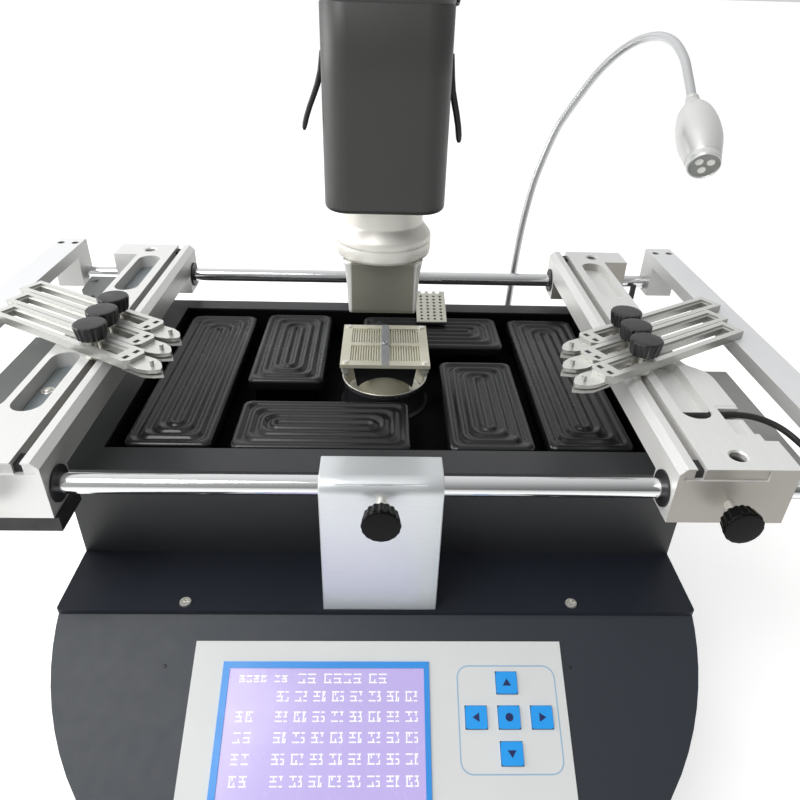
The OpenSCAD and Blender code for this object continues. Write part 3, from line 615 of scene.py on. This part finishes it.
RY, RZ = -173.0, HZ + 22.5
make_knob("knob_bracket", turned(0, RY - 25.5, RZ, (90, 0, 0)), 22, 10, "bracket_knob_body", ["bracket_knob"], 18.9, 3.0, mat="knob_gloss")
make_knob("knob_slide_left", turned(-184 - 33, RY - 25, RZ, (90, 0, 0)), 22, 10, "knob_left_body", ["knob_left"], 17.4, 3.0, mat="knob_gloss")
make_knob("knob_slide_right", turned(164.4 + 33, RY - 25, RZ, (90, 0, 0)), 22, 10, "knob_right_body", ["knob_right"], 17.4, 3.0, mat="knob_gloss")
make_knob("knob_lift", turned(42, 181, HZ + 140 + 130, (0, 90, 0)), 34, 20, "lift_knob_body", ["lift_knob"], 10.0, 5.0, flutes=22)
CT = HZ + 58.3
for side, x, ys in (("l", -184 - 12, (-20.5, -43, -65.5)), ("r", 164.4 + 12, (-32.5, -55, -77.5))):
    for i, y in enumerate(ys):
        make_knob("knob_claw_%s%d" % (side, i + 1), turned(x, y, CT + 2.55, (0, 0, 11.0 * i)), 22, 11.0, "claw_knob_%s%d_body" % (side, i + 1),
                  ["claw_knob_%s%d" % (side, i + 1)], 22.4, 2.4, extra=((-24.8, -21.4, 4.3), (-13.7, -8.7, 7.0), (-2.4, 0.05, 5.0)))


# ---------------------------------------------------------------- gooseneck and lamp
NECK = [[136, 200, 178], [136.5, 200, 204], [138.2, 200, 241.6], [141.1, 200, 286.5], [144.3, 200, 313], [148.6, 200, 338], [155.5, 200, 363], [163.5, 199.5, 386.5], [171, 198.8, 401],
        [179, 197.2, 415], [191, 191, 436], [203, 180, 453], [214, 164, 464.5], [223, 144, 469], [228, 122, 466.5], [230, 100, 457.3], [228.6, 80, 446], [226.2, 58.3, 433.6]]


def make_neck():
    bm = bmesh.new()
    pitch = 2.6
    sweep(bm, catmull(NECK, pitch / 8), lambda q: 3.45 + 0.12 * abs(math.sin(math.pi * q / pitch)), 14, (1, 0, 0))
    lathe(bm, [(12, 165), (12, 168), (11, 169.5), (8.2, 172), (7.6, 176), (7.2, 182), (6.6, 184), (4.0, 184.6)], 32, turned(136, 200, 0, (0, 0, 0)))
    o = obj_from("gooseneck_tube", bm, M["gooseneck"], "base")
    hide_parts("gooseneck")
    m = turned(226.2, 58.3, 433.6, (0, 0, -5.9)) @ Matrix.Rotation(math.radians(-60.2), 4, "X")
    bm = bmesh.new()
    lathe(bm, [(3.4, 1.0), (4.5, 0.8), (4.9, 0.2), (5.0, -1.4), (4.7, -1.8), (4.7, -2.4), (5.1, -2.8), (5.3, -6.0), (6.4, -8.6), (8.4, -11.2), (10.2, -13.4), (11.6, -16.2), (12.6, -19), (13.8, -23.5),
               (14.8, -29), (15.4, -35), (15.6, -41), (15.4, -46), (14.8, -50.5), (13.9, -55), (13.0, -59.4), (12.2, -63), (12.0, -63.6), (11.7, -63.8), (11.7, -64.6), (11.9, -65), (11.5, -68.4), (11.1, -69.6), (10.7, -70), (10.3, -69.6), (10.2, -66.4)], 56, m)
    o = obj_from("lamp_shell", bm, M["lamp_silver"], "base")
    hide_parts("lamp")
    bm = bmesh.new()
    lathe(bm, [(10.1, -66.6), (10.1, -68.6), (9.7, -68.9), (8.6, -68.7), (6.0, -68.4), (1.0, -68.3)], 48, m)
    o = obj_from("lamp_glass", bm, M["lens"], "base")
    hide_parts("lamp_lens")
    bm = bmesh.new()
    for k in range(3):
        a = math.radians(90 + 120 * k)
        lathe(bm, [(2.9, 0.4), (2.9, -0.1), (2.6, -0.5), (1.9, -0.85), (0.9, -1.05), (0.15, -1.1)], 24, m @ Matrix.Translation((4.7 * math.cos(a), 4.7 * math.sin(a), -68.2)))
    o = obj_from("lamp_leds", bm, led_glass, "base")
    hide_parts("lamp_lens")


led_glass = surface("led_glass", lin(246, 247, 240), 0.12, var=0.03, vscale=200, bump=0.03, coat=0.5, coat_rough=0.05)
make_neck()

# ---------------------------------------------------------------- control panel print
PS = math.radians(27)


def panel_pt(x, u, o):
    """A point on the sloped panel: x and u (down the slope) in mm, o proud of the sheet in mm."""
    return P(x, -186.0 - u * math.cos(PS) - o * math.sin(PS), 162.0 - u * math.sin(PS) + o * math.cos(PS))


def outline(name, pts, width, o0, o1, mat, body="base", close=True):
    """Thin raised line along pts of (x, u) on the panel, mm."""
    bm = bmesh.new()
    n = len(pts)
    rows = []
    for i in range(n):
        a = Vector(pts[(i - 1) % n] if close or i else pts[0])
        b = Vector(pts[(i + 1) % n] if close or i < n - 1 else pts[-1])
        t = (b - a).normalized()
        nn = Vector((-t.y, t.x)) * width / 2
        p = Vector(pts[i])
        rows.append([bm.verts.new(panel_pt(q.x, q.y, o)) for q, o in ((p + nn, o0), (p + nn, o1), (p - nn, o1), (p - nn, o0))])
    for i in range(n if close else n - 1):
        ring_faces(bm, rows[i], rows[(i + 1) % n])
    if not close:
        bm.faces.new(rows[0])
        bm.faces.new(rows[-1])
    return obj_from(name, bm, mat, body, smooth=False)


def rounded(x0, x1, u0, u1, r, n=6):
    """Rounded rectangle on the panel."""
    pts = []
    for cx, cy, a0 in ((x1 - r, u0 + r, -90), (x1 - r, u1 - r, 0), (x0 + r, u1 - r, 90), (x0 + r, u0 + r, 180)):
        for k in range(n + 1):
            a = math.radians(a0 + 90 * k / n)
            pts.append((cx + r * math.cos(a), cy + r * math.sin(a)))
    return pts


blue_line = surface("blue_line", lin(150, 186, 214), 0.4, var=0.04, bump=0.05)
white_print = glow(surface("white_print", lin(250, 250, 252), 0.4, var=0.02, bump=0.05), (1, 1, 1), 0.15)
navy_print = surface("navy_print", lin(16, 34, 92), 0.4, var=0.08, bump=0.05)
outline("key_outline", rounded(47.3, 106.5, 31.9, 90, 7.0), 0.7, 0.45, 0.60, blue_line)


def flat_marks(name, shapes, o0, o1, mat, body):
    """Thin raised shapes, each a list of (x, u) on the panel."""
    bm = bmesh.new()
    for pts in shapes:
        lo = [bm.verts.new(panel_pt(x, u, o0)) for x, u in pts]
        hi = [bm.verts.new(panel_pt(x, u, o1)) for x, u in pts]
        bm.faces.new(lo)
        bm.faces.new(hi)
        ring_faces(bm, lo, hi)
    return obj_from(name, bm, mat, body, smooth=False)


ARROW = [(-2.5, 1.7), (0, -2.3), (2.5, 1.7)]


def spin(pts, deg):
    a = math.radians(deg)
    return [(x * math.cos(a) - y * math.sin(a), x * math.sin(a) + y * math.cos(a)) for x, y in pts]


KX, KU = 77.0, 60.5
for tag, dx, du, shape in (("up", 0, -19, ARROW), ("down", 0, 19, spin(ARROW, 180)), ("left", -19.5, 0, spin(ARROW, -90)), ("right", 19.5, 0, spin(ARROW, 90)),
                           ("enter", 0, 0, [(2.3 * math.cos(2 * math.pi * k / 24), 2.3 * math.sin(2 * math.pi * k / 24)) for k in range(24)])):
    flat_marks("mark_" + tag, [[(KX + dx + x, KU + du + u) for x, u in shape]], 1.68, 1.84, navy_print, "key_%s_body" % tag)


def strokes(x, u, w, h, kind):
    """A few bars that read as one small character cell."""
    t = 0.75
    bars = [(0.0, 0.0, w, t), (0.0, h - t, w, h)]
    if kind % 2 == 0:
        bars.append((0.0, h * 0.5 - t / 2, w * 0.9, h * 0.5 + t / 2))
    if kind % 3 != 1:
        bars.append((w * 0.42, t + 0.05, w * 0.42 + t, h * 0.5 - t / 2 - 0.05))
    if kind % 3 != 2:
        bars.append((w * 0.66, h * 0.5 + t / 2 + 0.05, w * 0.66 + t, h - t - 0.05))
    if kind % 4 == 3:
        bars.append((0.3, t + 0.05, 0.3 + t, h - t - 0.05))
    return [[(x + a, u + b), (x + c, u + b), (x + c, u + d), (x + a, u + d)] for a, b, c, d in bars]


rows = []
for k in range(4):
    rows += strokes(-83.5 + 4.3 * k, 37.4, 3.3, 3.8, k)
for k in range(2):
    rows += strokes(-62.5 + 4.3 * k, 37.4, 3.3, 3.8, k + 5)
for k, x in enumerate((-48.5, -42.6, -33.0, -27.1, -21.2, -15.3, -6.0, -0.1)):
    rows += strokes(x, 36.4, 4.8, 5.4, k * 3 + 1)
for r in range(5):
    for k in range(8):
        rows += strokes(-60.5 + 10.9 * k, 46.2 + 11.0 * r, 4.2, 5.6, k + 2 * r)
        rows += strokes(-55.5 + 10.9 * k, 46.2 + 11.0 * r, 2.2, 5.6, k + r + 1)
    rows += strokes(-83.5, 57.2 + 11.0 * r, 4.2, 5.6, r) + strokes(-77.6, 57.2 + 11.0 * r, 4.2, 5.6, r + 3) if r < 4 else []
flat_marks("screen_rows", rows, 0.85, 0.98, white_print, "base")


# ---------------------------------------------------------------- small hardware
def cap_screw(name, m, d, body, mat="screw_steel"):
    """Socket-head screw: rounded head with a round socket, top at Z = 0."""
    bm = bmesh.new()
    R = d / 2
    lathe(bm, [(R * 0.96, -3.2), (R, -3.0), (R, -0.7), (R * 0.97, -0.3), (R * 0.88, 0.0), (R * 0.60, 0.0), (R * 0.55, -0.2), (R * 0.53, -1.6), (R * 0.1, -1.7)], 24, m)
    return obj_from(name, bm, M[mat], body, smooth=False)


ET = HZ + 52.0
for side, x0 in (("l", -286 - 24), ("r", 258)):
    for tag, y in (("f", -173), ("b", 147)):
        for k, dx in enumerate((5.5, 18.5)):
            cap_screw("bar_screw_%s%s%d" % (side, tag, k), turned(x0 + dx, y, ET - 0.8, (0, 0, 17 * k)), 6.0, "table", "lever_black")
for tag, x, u in (("l", -129.4, 32.1), ("r", 117.0, 32.7)):
    c = panel_pt(x, u, 0.0) / MM
    m = Matrix.Translation((c.x - FX, c.y - FY, c.z)) @ Matrix.Rotation(PS, 4, "X")
    bm = bmesh.new()
    lathe(bm, [(1.2, 0.0), (1.2, 0.2), (1.0, 0.4), (0.65, 0.45), (0.55, 0.15), (0.12, 0.15)], 20, m)
    obj_from("panel_screw_" + tag, bm, M["lever_black"], "base", smooth=False)


# ---------------------------------------------------------------- hot-air nozzles
UX, LX = -0.6, 2.0
bm = bmesh.new()
stack(bm, UX, 0, [(h, h, r, HZ + z) for h, r, z in (
    (18, 2, 87), (22.2, 2, 86.8), (22.2, 2, 80), (22.2, 2, 64), (22.4, 2, 63.2), (22.8, 2.2, 63), (23.8, 2.4, 63), (24.3, 2.7, 63.2), (24.6, 3.0, 63.8), (24.7, 3.0, 66), (25.0, 3.3, 72),
    (25.4, 3.7, 80), (25.9, 4.3, 87), (26.5, 5.0, 93), (27.2, 5.8, 98), (27.8, 6.4, 101), (28.1, 6.8, 103), (24, 6.0, 103.2))])
o = obj_from("nozzle_skirt", bm, M["nozzle_steel"], "hot_air_nozzle")
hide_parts("nozzle_upper")
bm = bmesh.new()
lathe(bm, [(24.5, 103.0), (24.5, 102.2), (28, 102), (31.2, 102), (32.4, 102.2), (33.3, 102.8), (33.8, 103.6), (34.0, 105), (34.2, 108), (34.3, 111.4), (34.2, 111.7), (34.15, 112.0), (34.3, 112.3), (34.3, 114.2), (34.2, 115.8), (33.9, 117.0), (33.4, 117.9),
           (32.0, 119.7), (30.6, 121.5), (29.4, 123.0), (28.8, 123.8), (28.35, 124.5), (28.05, 125.1), (27.8, 125.8), (27.5, 125.8), (27.4, 120), (27.6, 106), (24.5, 105.4)], 96, turned(UX, 0, HZ, (0, 0, 0)), loop=True)
o = obj_from("nozzle_collar", bm, M["neck_steel"], "hot_air_nozzle")
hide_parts("nozzle_upper")

# head: rounded shell with a parting line
bm = bmesh.new()
rings = []
for k in range(9):
    a = math.radians(90 * k / 8)
    q = 4.0 * (1 - math.sin(a))
    rings.append((39.8 - q, 54 - q, 16.5 - q * 0.8, HZ + 140 + 4.0 * (1 - math.cos(a))))
rings += [(39.8, 54, 16.5, HZ + 140 + z) for z in (12, 40, 80, 119.4)]
rings += [(39.3, 53.5, 16.0, HZ + 259.8), (39.3, 53.5, 16.0, HZ + 260.6), (39.8, 54, 16.5, HZ + 261), (39.8, 54, 16.5, HZ + 300), (39.8, 54, 16.5, HZ + 322), (39.2, 53.4, 15.9, HZ + 324.6), (37.4, 51.6, 14.1, HZ + 325.8), (30, 44, 8, HZ + 326)]
stack(bm, 0.2, 12, rings)
o = obj_from("head_shell", bm, M["head_paint"], "hot_air_head")
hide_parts("head")



# head levers: bowed straps with rounded edges
def strap(name, pts, y, depth, body, mat, replaced):
    """Strap through (x, z, width) in the XZ plane, rounded cross-section."""
    bm = bmesh.new()
    rows_ = []
    for i, (x, z, w) in enumerate(pts):
        x1, z1, _ = pts[max(i - 1, 0)]
        x2, z2, _ = pts[min(i + 1, len(pts) - 1)]
        ln = math.hypot(x2 - x1, z2 - z1)
        nx, nz = -(z2 - z1) / ln, (x2 - x1) / ln
        sh = min(1.0, w / 2.4)
        rows_.append([bm.verts.new(P(x + nx * a, y + b * sh, z + nz * a)) for a, b in rrect(w / 2, depth / 2, min(w / 2 * 0.9, 1.5), 4)])
    for a, b in zip(rows_, rows_[1:]):
        ring_faces(bm, a, b)
    bm.faces.new(rows_[0])
    bm.faces.new(rows_[-1])
    o = obj_from(name, bm, M[mat], body)
    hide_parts(*replaced)


ZB = HZ + 140
strap("lever_l", [(-39.6, ZB + 93, 3.0), (-39.9, ZB + 90, 3.4), (-40.9, ZB + 82, 3.6), (-43.2, ZB + 74, 3.6), (-45.6, ZB + 68, 3.5), (-48.6, ZB + 61, 3.4), (-50.8, ZB + 55, 3.3), (-51.9, ZB + 51, 3.2), (-52.4, ZB + 48.5, 2.6), (-52.5, ZB + 47.0, 1.6), (-52.5, ZB + 46.5, 0.6)],
      -12, 7.6, "hot_air_head", "lever_black", ["head_levers"])
strap("lever_r", [(40.4, ZB + 93, 3.0), (40.7, ZB + 88, 3.4), (41.2, ZB + 80, 3.8), (42.2, ZB + 72, 4.0), (43.9, ZB + 65, 4.0), (45.7, ZB + 58, 3.9), (47.2, ZB + 51, 3.8), (47.9, ZB + 46, 3.7), (48.1, ZB + 43, 3.2), (48.1, ZB + 41.4, 2.0), (48.1, ZB + 40.9, 0.7)],
      -12, 7.6, "hot_air_head", "lever_black", ["head_levers"])

# lower cup: bright flared rim and inner wall, dark outside
bm = bmesh.new()
zc = HZ + 3 - 30
m0 = turned(LX, 0, zc, (0, 0, 0))
lathe(bm, [(6, 9.0), (29.6, 9.0), (30.6, 9.4), (30.8, 10.4), (30.8, 20.6), (31.2, 22), (32.2, 23.9), (33.1, 25.0), (33.6, 25.3), (34.1, 25.2), (34.4, 24.8), (34.3, 24.2), (33.6, 22.8), (33.0, 21.4), (31.6, 21.0), (31.6, 8.4), (6, 8.2)], 96, m0)
o = obj_from("cup_rim", bm, M["cup_steel"], "base")
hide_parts("lower_cup")
bm = bmesh.new()
lathe(bm, [(31.8, 0.2), (35.6, 0.2), (36, 0.6), (36, 1.6), (35.6, 2.0), (33.4, 2.9), (33.0, 3.4), (32.7, 20.0), (32.9, 20.9), (32.4, 20.9), (31.8, 20.6)], 72, m0, loop=True)
o = obj_from("cup_skirt", bm, M["duct"], "base")
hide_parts("lower_cup")

# lower grid: plate with four windows, fine slats and a boss
xs = [-34, -26.6, -2.6, 2.6, 26.6, 34]
ys = [-34.5, -27.6, -2.4, 2.4, 27.6, 34.5]
bm = bmesh.new()
vs = [[bm.verts.new(P(LX + x, y, HZ + 25)) for y in ys] for x in xs]
cells = []
for i in range(5):
    for j in range(5):
        if not (i in (1, 3) and j in (1, 3)):
            cells.append(bm.faces.new((vs[i][j], vs[i + 1][j], vs[i + 1][j + 1], vs[i][j + 1])))
ext = bmesh.ops.extrude_face_region(bm, geom=cells)
for v in ext["geom"]:
    if isinstance(v, bmesh.types.BMVert):
        v.co.z -= 3.0 * MM
for sx in (-1, 1):
    for sy in (-1, 1):
        for k in range(12):
            x0 = sx * 14.6 - 11.6 + k * 2.0
            box(bm, turned(LX, 0, 0, (0, 0, 0)), (x0, sy * 15 - 12.9, HZ + 22.6), (x0 + 1.15, sy * 15 + 12.9, HZ + 24.4), 0.2)
        box(bm, turned(LX, 0, 0, (0, 0, 0)), (sx * 14.6 - 12.3, sy * 15 - 12.9, HZ + 22.1), (sx * 14.6 + 12.3, sy * 15 + 12.9, HZ + 22.5), 0.0)
lathe(bm, [(3.6, 24.6), (3.6, 25.4), (3.3, 25.8), (2.2, 26.0), (1.4, 26.0), (1.2, 25.6), (0.2, 25.5)], 28, turned(LX, 0, HZ, (0, 0, 0)))
o = obj_from("grid_plate", bm, M["plate_steel"], "base", smooth=False)
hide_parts("lower_nozzle")
bv = o.modifiers.new("edge", "BEVEL")
bv.width = 0.35 * MM
bv.segments = 2
bv.limit_method = "ANGLE"

bm = bmesh.new()
box(bm, turned(LX, 0, 0, (0, 0, 0)), (-2.9, -34.2, HZ + 24.8), (2.9, 34.2, HZ + 25.5), 0.3)
box(bm, turned(LX, 0, 0, (0, 0, 0)), (-3.4, -3.4, HZ + 25.0), (3.4, 3.4, HZ + 26.0), 0.5)
lathe(bm, [(2.4, 25.8), (2.4, 26.5), (2.0, 26.9), (1.2, 27.0), (1.0, 26.6), (0.2, 26.6)], 24, turned(LX, 0, HZ, (0, 0, 0)))
obj_from("grid_bar", bm, surface("grid_bar", lin(176, 178, 182), 0.36, metal=0.6, var=0.08, vscale=60, bump=0.05), "base", smooth=False)

# dark hood with arched lower edges round the air pipe
bm = bmesh.new()
loops = []
for top, inset in ((True, 0.0), (False, 0.0), (False, 1.2), (True, 1.2)):
    row = []
    for q in range(4):
        for k in range(24):
            t = -1 + 2 * k / 24
            h = (25.0 if top else 21.6) - inset
            z = HZ + (21.6 if top else -1.8 + 9.4 * (1 - t * t))
            h = 21.6 - inset + (25.0 - 21.6) * (z - HZ + 1.8) / 23.4
            x, y = t * h, -h
            for _ in range(q):
                x, y = -y, x
            row.append(bm.verts.new(P(LX + x, y, z)))
    loops.append(row)
for a, b in zip(loops, loops[1:] + loops[:1]):
    ring_faces(bm, a, b)
o = obj_from("duct_hood", bm, M["duct"], "base", smooth=False)
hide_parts("lower_duct")
bm = bmesh.new()
lathe(bm, [(19.0, -17.8), (20.4, -17.4), (20.4, -15), (20.0, -14.6), (20.0, -4), (20.0, 4), (19.8, 11), (19.2, 12), (18.4, 12), (18.2, 11), (18.2, -10), (4, -10.5)], 64, turned(LX, 0, HZ, (0, 0, 0)))
o = obj_from("air_pipe", bm, M["plate_steel"], "base")
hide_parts("lower_duct")

# perforated outlet: plate with round holes over a dark core, whose backing under the holes is painted shade
def make_outlet():
    bm = bmesh.new()
    m = turned(45, 127.5, HZ + 17, (15, 0, 0))
    px, py, r = 6.0, 4.7, 1.35
    x0, y0 = -12.0, -43.2
    keep = {}

    def vert(x, y):
        key = (round(x, 3), round(y, 3))
        if key not in keep:
            keep[key] = bm.verts.new(P(*(m @ Vector((x, y, 0.0)))))
        return keep[key]

    cols, rws = 4, 8
    faces = []
    for i in range(cols):
        for j in range(rws):
            cx, cy = x0 + px * (i + 0.5), y0 + py * (j + 0.5)
            outer, hole = [], []
            for k in range(16):
                a = 2 * math.pi * (k + 0.0) / 16
                c, q = math.cos(a), math.sin(a)
                t = min(px / 2 / abs(c) if abs(c) > 1e-9 else 1e9, py / 2 / abs(q) if abs(q) > 1e-9 else 1e9)
                outer.append((cx + c * t, cy + q * t))
                hole.append(bm.verts.new(P(*(m @ Vector((cx + r * c, cy + r * q, 0.0))))))
            corners = {(1, 1): 2, (-1, 1): 6, (-1, -1): 10, (1, -1): 14}
            for (sx, sy), k in corners.items():
                outer[k] = (cx + sx * px / 2, cy + sy * py / 2)
            ov = [vert(*q) for q in outer]
            for k in range(16):
                n = (k + 1) % 16
                faces.append(bm.faces.new((ov[k], ov[n], hole[n], hole[k])))
    ext = bmesh.ops.extrude_face_region(bm, geom=faces)
    d = P(*(m @ Vector((0, 0, -1.5)))) - P(*(m @ Vector((0, 0, 0))))
    for v in ext["geom"]:
        if isinstance(v, bmesh.types.BMVert):
            v.co += d
    for lo, hi in (((-13.7, -45.0, -1.5), (-12.0, 0.0, 0.0)), ((12.0, -45.0, -1.5), (13.7, 0.0, 0.0)), ((-12.0, -45.0, -1.5), (12.0, -43.2, 0.0)), ((-12.0, -5.6, -1.5), (12.0, -3.2, 0.0))):
        box(bm, m, lo, hi, 0.12)
    for k in range(4):
        box(bm, m, (-12.0 + 6.9 * k, -3.2, -1.5), (-8.7 + 6.9 * k, 0.0, 0.0), 0.12)
    o = obj_from("outlet_plate", bm, M["outlet_steel"], "base", smooth=False)
    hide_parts("cooling_outlet")
    bm = bmesh.new()
    # dark backing sheet and ribs just under the holes: painted shade of the space below the plate
    box(bm, m, (-12.6, -44.6, -3.4), (12.6, -0.4, -2.2), 0.2)
    for k in range(5):
        box(bm, m, (-11.4 + 5.2 * k, -43.5, -4.0), (-9.6 + 5.2 * k, -2.5, -3.3), 0.2)
    for x in (-13.2, 12.4):
        box(bm, m, (x, -44.8, -3.4), (x + 0.8, -0.2, -1.45), 0.15)
    # duct that carries the plate
    row = [[bm.verts.new(P(x, y, z)) for y, z in ((113, HZ + 3), (127, HZ + 3), (127, HZ + 15.0), (84.5, HZ + 3.6), (84.5, HZ + 2.2), (113, HZ + 4.2))] for x in (33.5, 56.5)]
    ring_faces(bm, row[0], row[1])
    bm.faces.new(row[0])
    bm.faces.new(row[1])
    o = obj_from("outlet_duct_and_shade_backing", bm, M["duct"], "base", smooth=False)
    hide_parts("cooling_outlet")


make_outlet()


# ---------------------------------------------------------------- bent bracket skins
def make_skin(name, yc, flip):
    """Smooth outer face of a bent bracket, a thin sheet over the plate."""
    prof = [(-13.0, z) for z in (-89.3, -88.6, -70, -45, -20, -5, 1.6)]
    for k in range(1, 24):
        a = math.radians(180 - 90 * k / 24)
        prof.append((-4.0 + 9 * math.cos(a), 2.5 + 9 * math.sin(a)))
    prof += [(-3.2, 11.5), (2, 11.5), (8, 11.5), (11.4, 11.5), (12.0, 11.5)]
    t = 0.45
    bm = bmesh.new()
    xs_ = [-35.4, -35.2, -34.6, -20, 0, 20, 34.6, 35.2, 35.4]
    lift_ = [-0.25, 0.22, 0.45, 0.45, 0.45, 0.45, 0.45, 0.22, -0.25]
    rows_o, rows_i = [], []
    for i, (y, z) in enumerate(prof):
        y1, z1 = prof[max(i - 1, 0)]
        y2, z2 = prof[min(i + 1, len(prof) - 1)]
        ty, tz = y2 - y1, z2 - z1
        ln = math.hypot(ty, tz)
        ny, nz = -tz / ln, ty / ln
        if flip:
            rows_o.append([bm.verts.new(P(-x, yc - (y + ny * q), RZ + z + nz * q)) for x, q in zip(xs_, lift_)])
            rows_i.append([bm.verts.new(P(-x, yc - (y - ny * 0.35), RZ + z - nz * 0.35)) for x in xs_])
        else:
            rows_o.append([bm.verts.new(P(x, yc + (y + ny * q), RZ + z + nz * q)) for x, q in zip(xs_, lift_)])
            rows_i.append([bm.verts.new(P(x, yc + (y - ny * 0.35), RZ + z - nz * 0.35)) for x in xs_])
    for grid_ in (rows_o, rows_i):
        for a, b in zip(grid_, grid_[1:]):
            ring_faces(bm, a, b, close=False)
    n = len(prof)
    rim_o = rows_o[0] + [rows_o[i][-1] for i in range(1, n)] + rows_o[-1][-2::-1] + [rows_o[i][0] for i in range(n - 2, 0, -1)]
    rim_i = rows_i[0] + [rows_i[i][-1] for i in range(1, n)] + rows_i[-1][-2::-1] + [rows_i[i][0] for i in range(n - 2, 0, -1)]
    ring_faces(bm, rim_o, rim_i)
    obj_from(name, bm, M["bracket_alu"], "base")


make_skin("bracket_face_front", -173.0, False)
make_skin("bracket_face_rear", 147.0, True)

# ground guide rods with chamfered ends
for tag, y in (("front", RY), ("rear", 147.0)):
    bm = bmesh.new()
    lathe(bm, [(4.9, 0.0), (5.7, 0.4), (6.0, 1.2)] + [(6.0, 8.0 * k) for k in range(1, 72)] + [(6.0, 574.8), (5.7, 575.6), (4.9, 576.0)], 64, turned(-302, y, RZ, (0, 90, 0)))
    o = obj_from("guide_rod_" + tag, bm, M["rod_chrome"], "table")
    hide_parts("rod_" + tag)

# dark screws down in the slides' counterbores, washer on the left plate
for tag, sx, x0, body in (("l", -1, -184.0, "left_slide"), ("r", 1, 164.4, "right_slide")):
    for end, y in (("f", -174.0), ("b", 146.0)):
        cap_screw("slide_screw_" + tag + end, turned(x0 + sx * 37.5, y, HZ + 47 - 3.4, (0, 0, 20)), 9.0, body, "lever_black")
ST = HZ + 47
# ledge beside the lead's outlet
bm = bmesh.new()
stack(bm, 217.4, -142.0, [(6.4, 9.2, 0.6, ST - 8.2), (6.8, 9.6, 0.8, ST - 7.8), (6.8, 9.6, 0.8, ST - 3.0), (6.5, 9.3, 0.7, ST - 2.6), (4.0, 7.0, 0.6, ST - 2.6), (3.8, 6.8, 0.5, ST - 2.8), (1.0, 4.0, 0.4, ST - 2.8)])
stack(bm, 217.4, -122.5, [(6.6, 1.3, 0.3, ST - 8.2), (6.9, 1.5, 0.4, ST - 7.8), (6.9, 1.5, 0.4, ST - 0.4), (6.6, 1.3, 0.3, ST - 0.06), (5.0, 0.6, 0.2, ST - 0.06)])
obj_from("lead_ledge", bm, M["slide_alu"], "right_slide", smooth=False)
for tag, yc, half in (("front", -99, 27.6), ("rear", 89, 31.0)):
    bm = bmesh.new()
    stack(bm, -184 - 31.5, yc, [(9.0, half + 9.0, 9.0, ST - 12.4), (9.5, half + 9.5, 9.5, ST - 12.0), (9.5, half + 9.5, 9.5, ST - 10.8), (9.1, half + 9.1, 9.1, ST - 10.4), (8.0, half + 8.0, 8.0, ST - 10.4), (7.8, half + 7.8, 7.8, ST - 10.6), (4.0, half + 4.0, 4.0, ST - 10.6)])
    obj_from("window_floor_" + tag, bm, M["window_grey"], "left_slide", smooth=False)
bm = bmesh.new()
lathe(bm, [(4.4, 0.0), (4.4, 0.5), (4.1, 0.8), (2.7, 0.8), (2.6, 1.5), (2.1, 1.9), (1.1, 2.0), (1.0, 1.4), (0.2, 1.4)], 32, turned(-219.0, -95.6, ST - 10.8, (0, 0, 0)))
obj_from("window_washer", bm, M["screw_steel"], "left_slide", smooth=False)
bm = bmesh.new()
lathe(bm, [(5.6, 21.6), (5.6, 23.0), (5.2, 23.4), (3.4, 23.4), (3.3, 24.4), (2.6, 25.0), (1.4, 25.1), (1.2, 24.4), (0.2, 24.3)], 32, turned(-184 - 47.4, -72, HZ, (0, 0, 0)))
obj_from("wing_washer", bm, M["screw_steel"], "left_slide", smooth=False)

# ---------------------------------------------------------------- stage and light
floor_m = glow(surface("floor", lin(240, 240, 239), 0.8, var=0.01, bump=0.02, spec=0.2), (1, 1, 1), 0.5)
fn, fl_ = floor_m.node_tree.nodes, floor_m.node_tree.links
fg = fn.new("ShaderNodeNewGeometry")
fs = fn.new("ShaderNodeSeparateXYZ")
fl_.new(fg.outputs["Position"], fs.inputs[0])
fr = fn.new("ShaderNodeMapRange")                      # the floor is lit from the back
for key, val in (("From Min", -0.9), ("From Max", -0.3), ("To Min", 0.05), ("To Max", 0.5)):
    fr.inputs[key].default_value = val
fl_.new(fs.outputs[1], fr.inputs["Value"])
fl_.new(fr.outputs[0], next(n for n in fn if n.type == "BSDF_PRINCIPLED").inputs["Emission Strength"])
bpy.ops.mesh.primitive_plane_add(size=80.0, location=(0, 0, 0))
floor = bpy.context.object
floor.name = "floor"
floor.data.materials.append(floor_m)


def area(name, loc, target, size, power, col=(1, 1, 1)):
    l = bpy.data.lights.new(name, "AREA")
    l.shape = "RECTANGLE"
    l.size, l.size_y = size
    l.energy = power
    l.color = col
    o = bpy.data.objects.new(name, l)
    o.location = loc
    o.rotation_euler = (Vector(target) - Vector(loc)).to_track_quat("-Z", "Y").to_euler()
    scene.collection.objects.link(o)


world = bpy.data.worlds.new("world")
scene.world = world
world.use_nodes = True
wt = world.node_tree
bg = wt.nodes["Background"]
wc = wt.nodes.new("ShaderNodeTexCoord")
dot = wt.nodes.new("ShaderNodeVectorMath")
dot.operation = "DOT_PRODUCT"
dot.inputs[1].default_value = (-0.34, 0.30, 0.12)      # brighter to the back, the left and the top
wt.links.new(wc.outputs["Generated"], dot.inputs[0])
lift = wt.nodes.new("ShaderNodeMath")
lift.operation = "ADD"
lift.inputs[1].default_value = 0.54
wt.links.new(dot.outputs["Value"], lift.inputs[0])
wt.links.new(lift.outputs[0], bg.inputs[1])
bg.inputs[0].default_value = (1.0, 1.0, 1.0, 1)
area("key", (-0.85, -0.9, 1.95), (-0.1, -0.15, 0.15), (0.9, 0.9), 17)
area("window", (-1.9, 0.15, 0.9), (0, 0, 0.3), (1.6, 1.2), 25)
scene.view_settings.view_transform = "Standard"
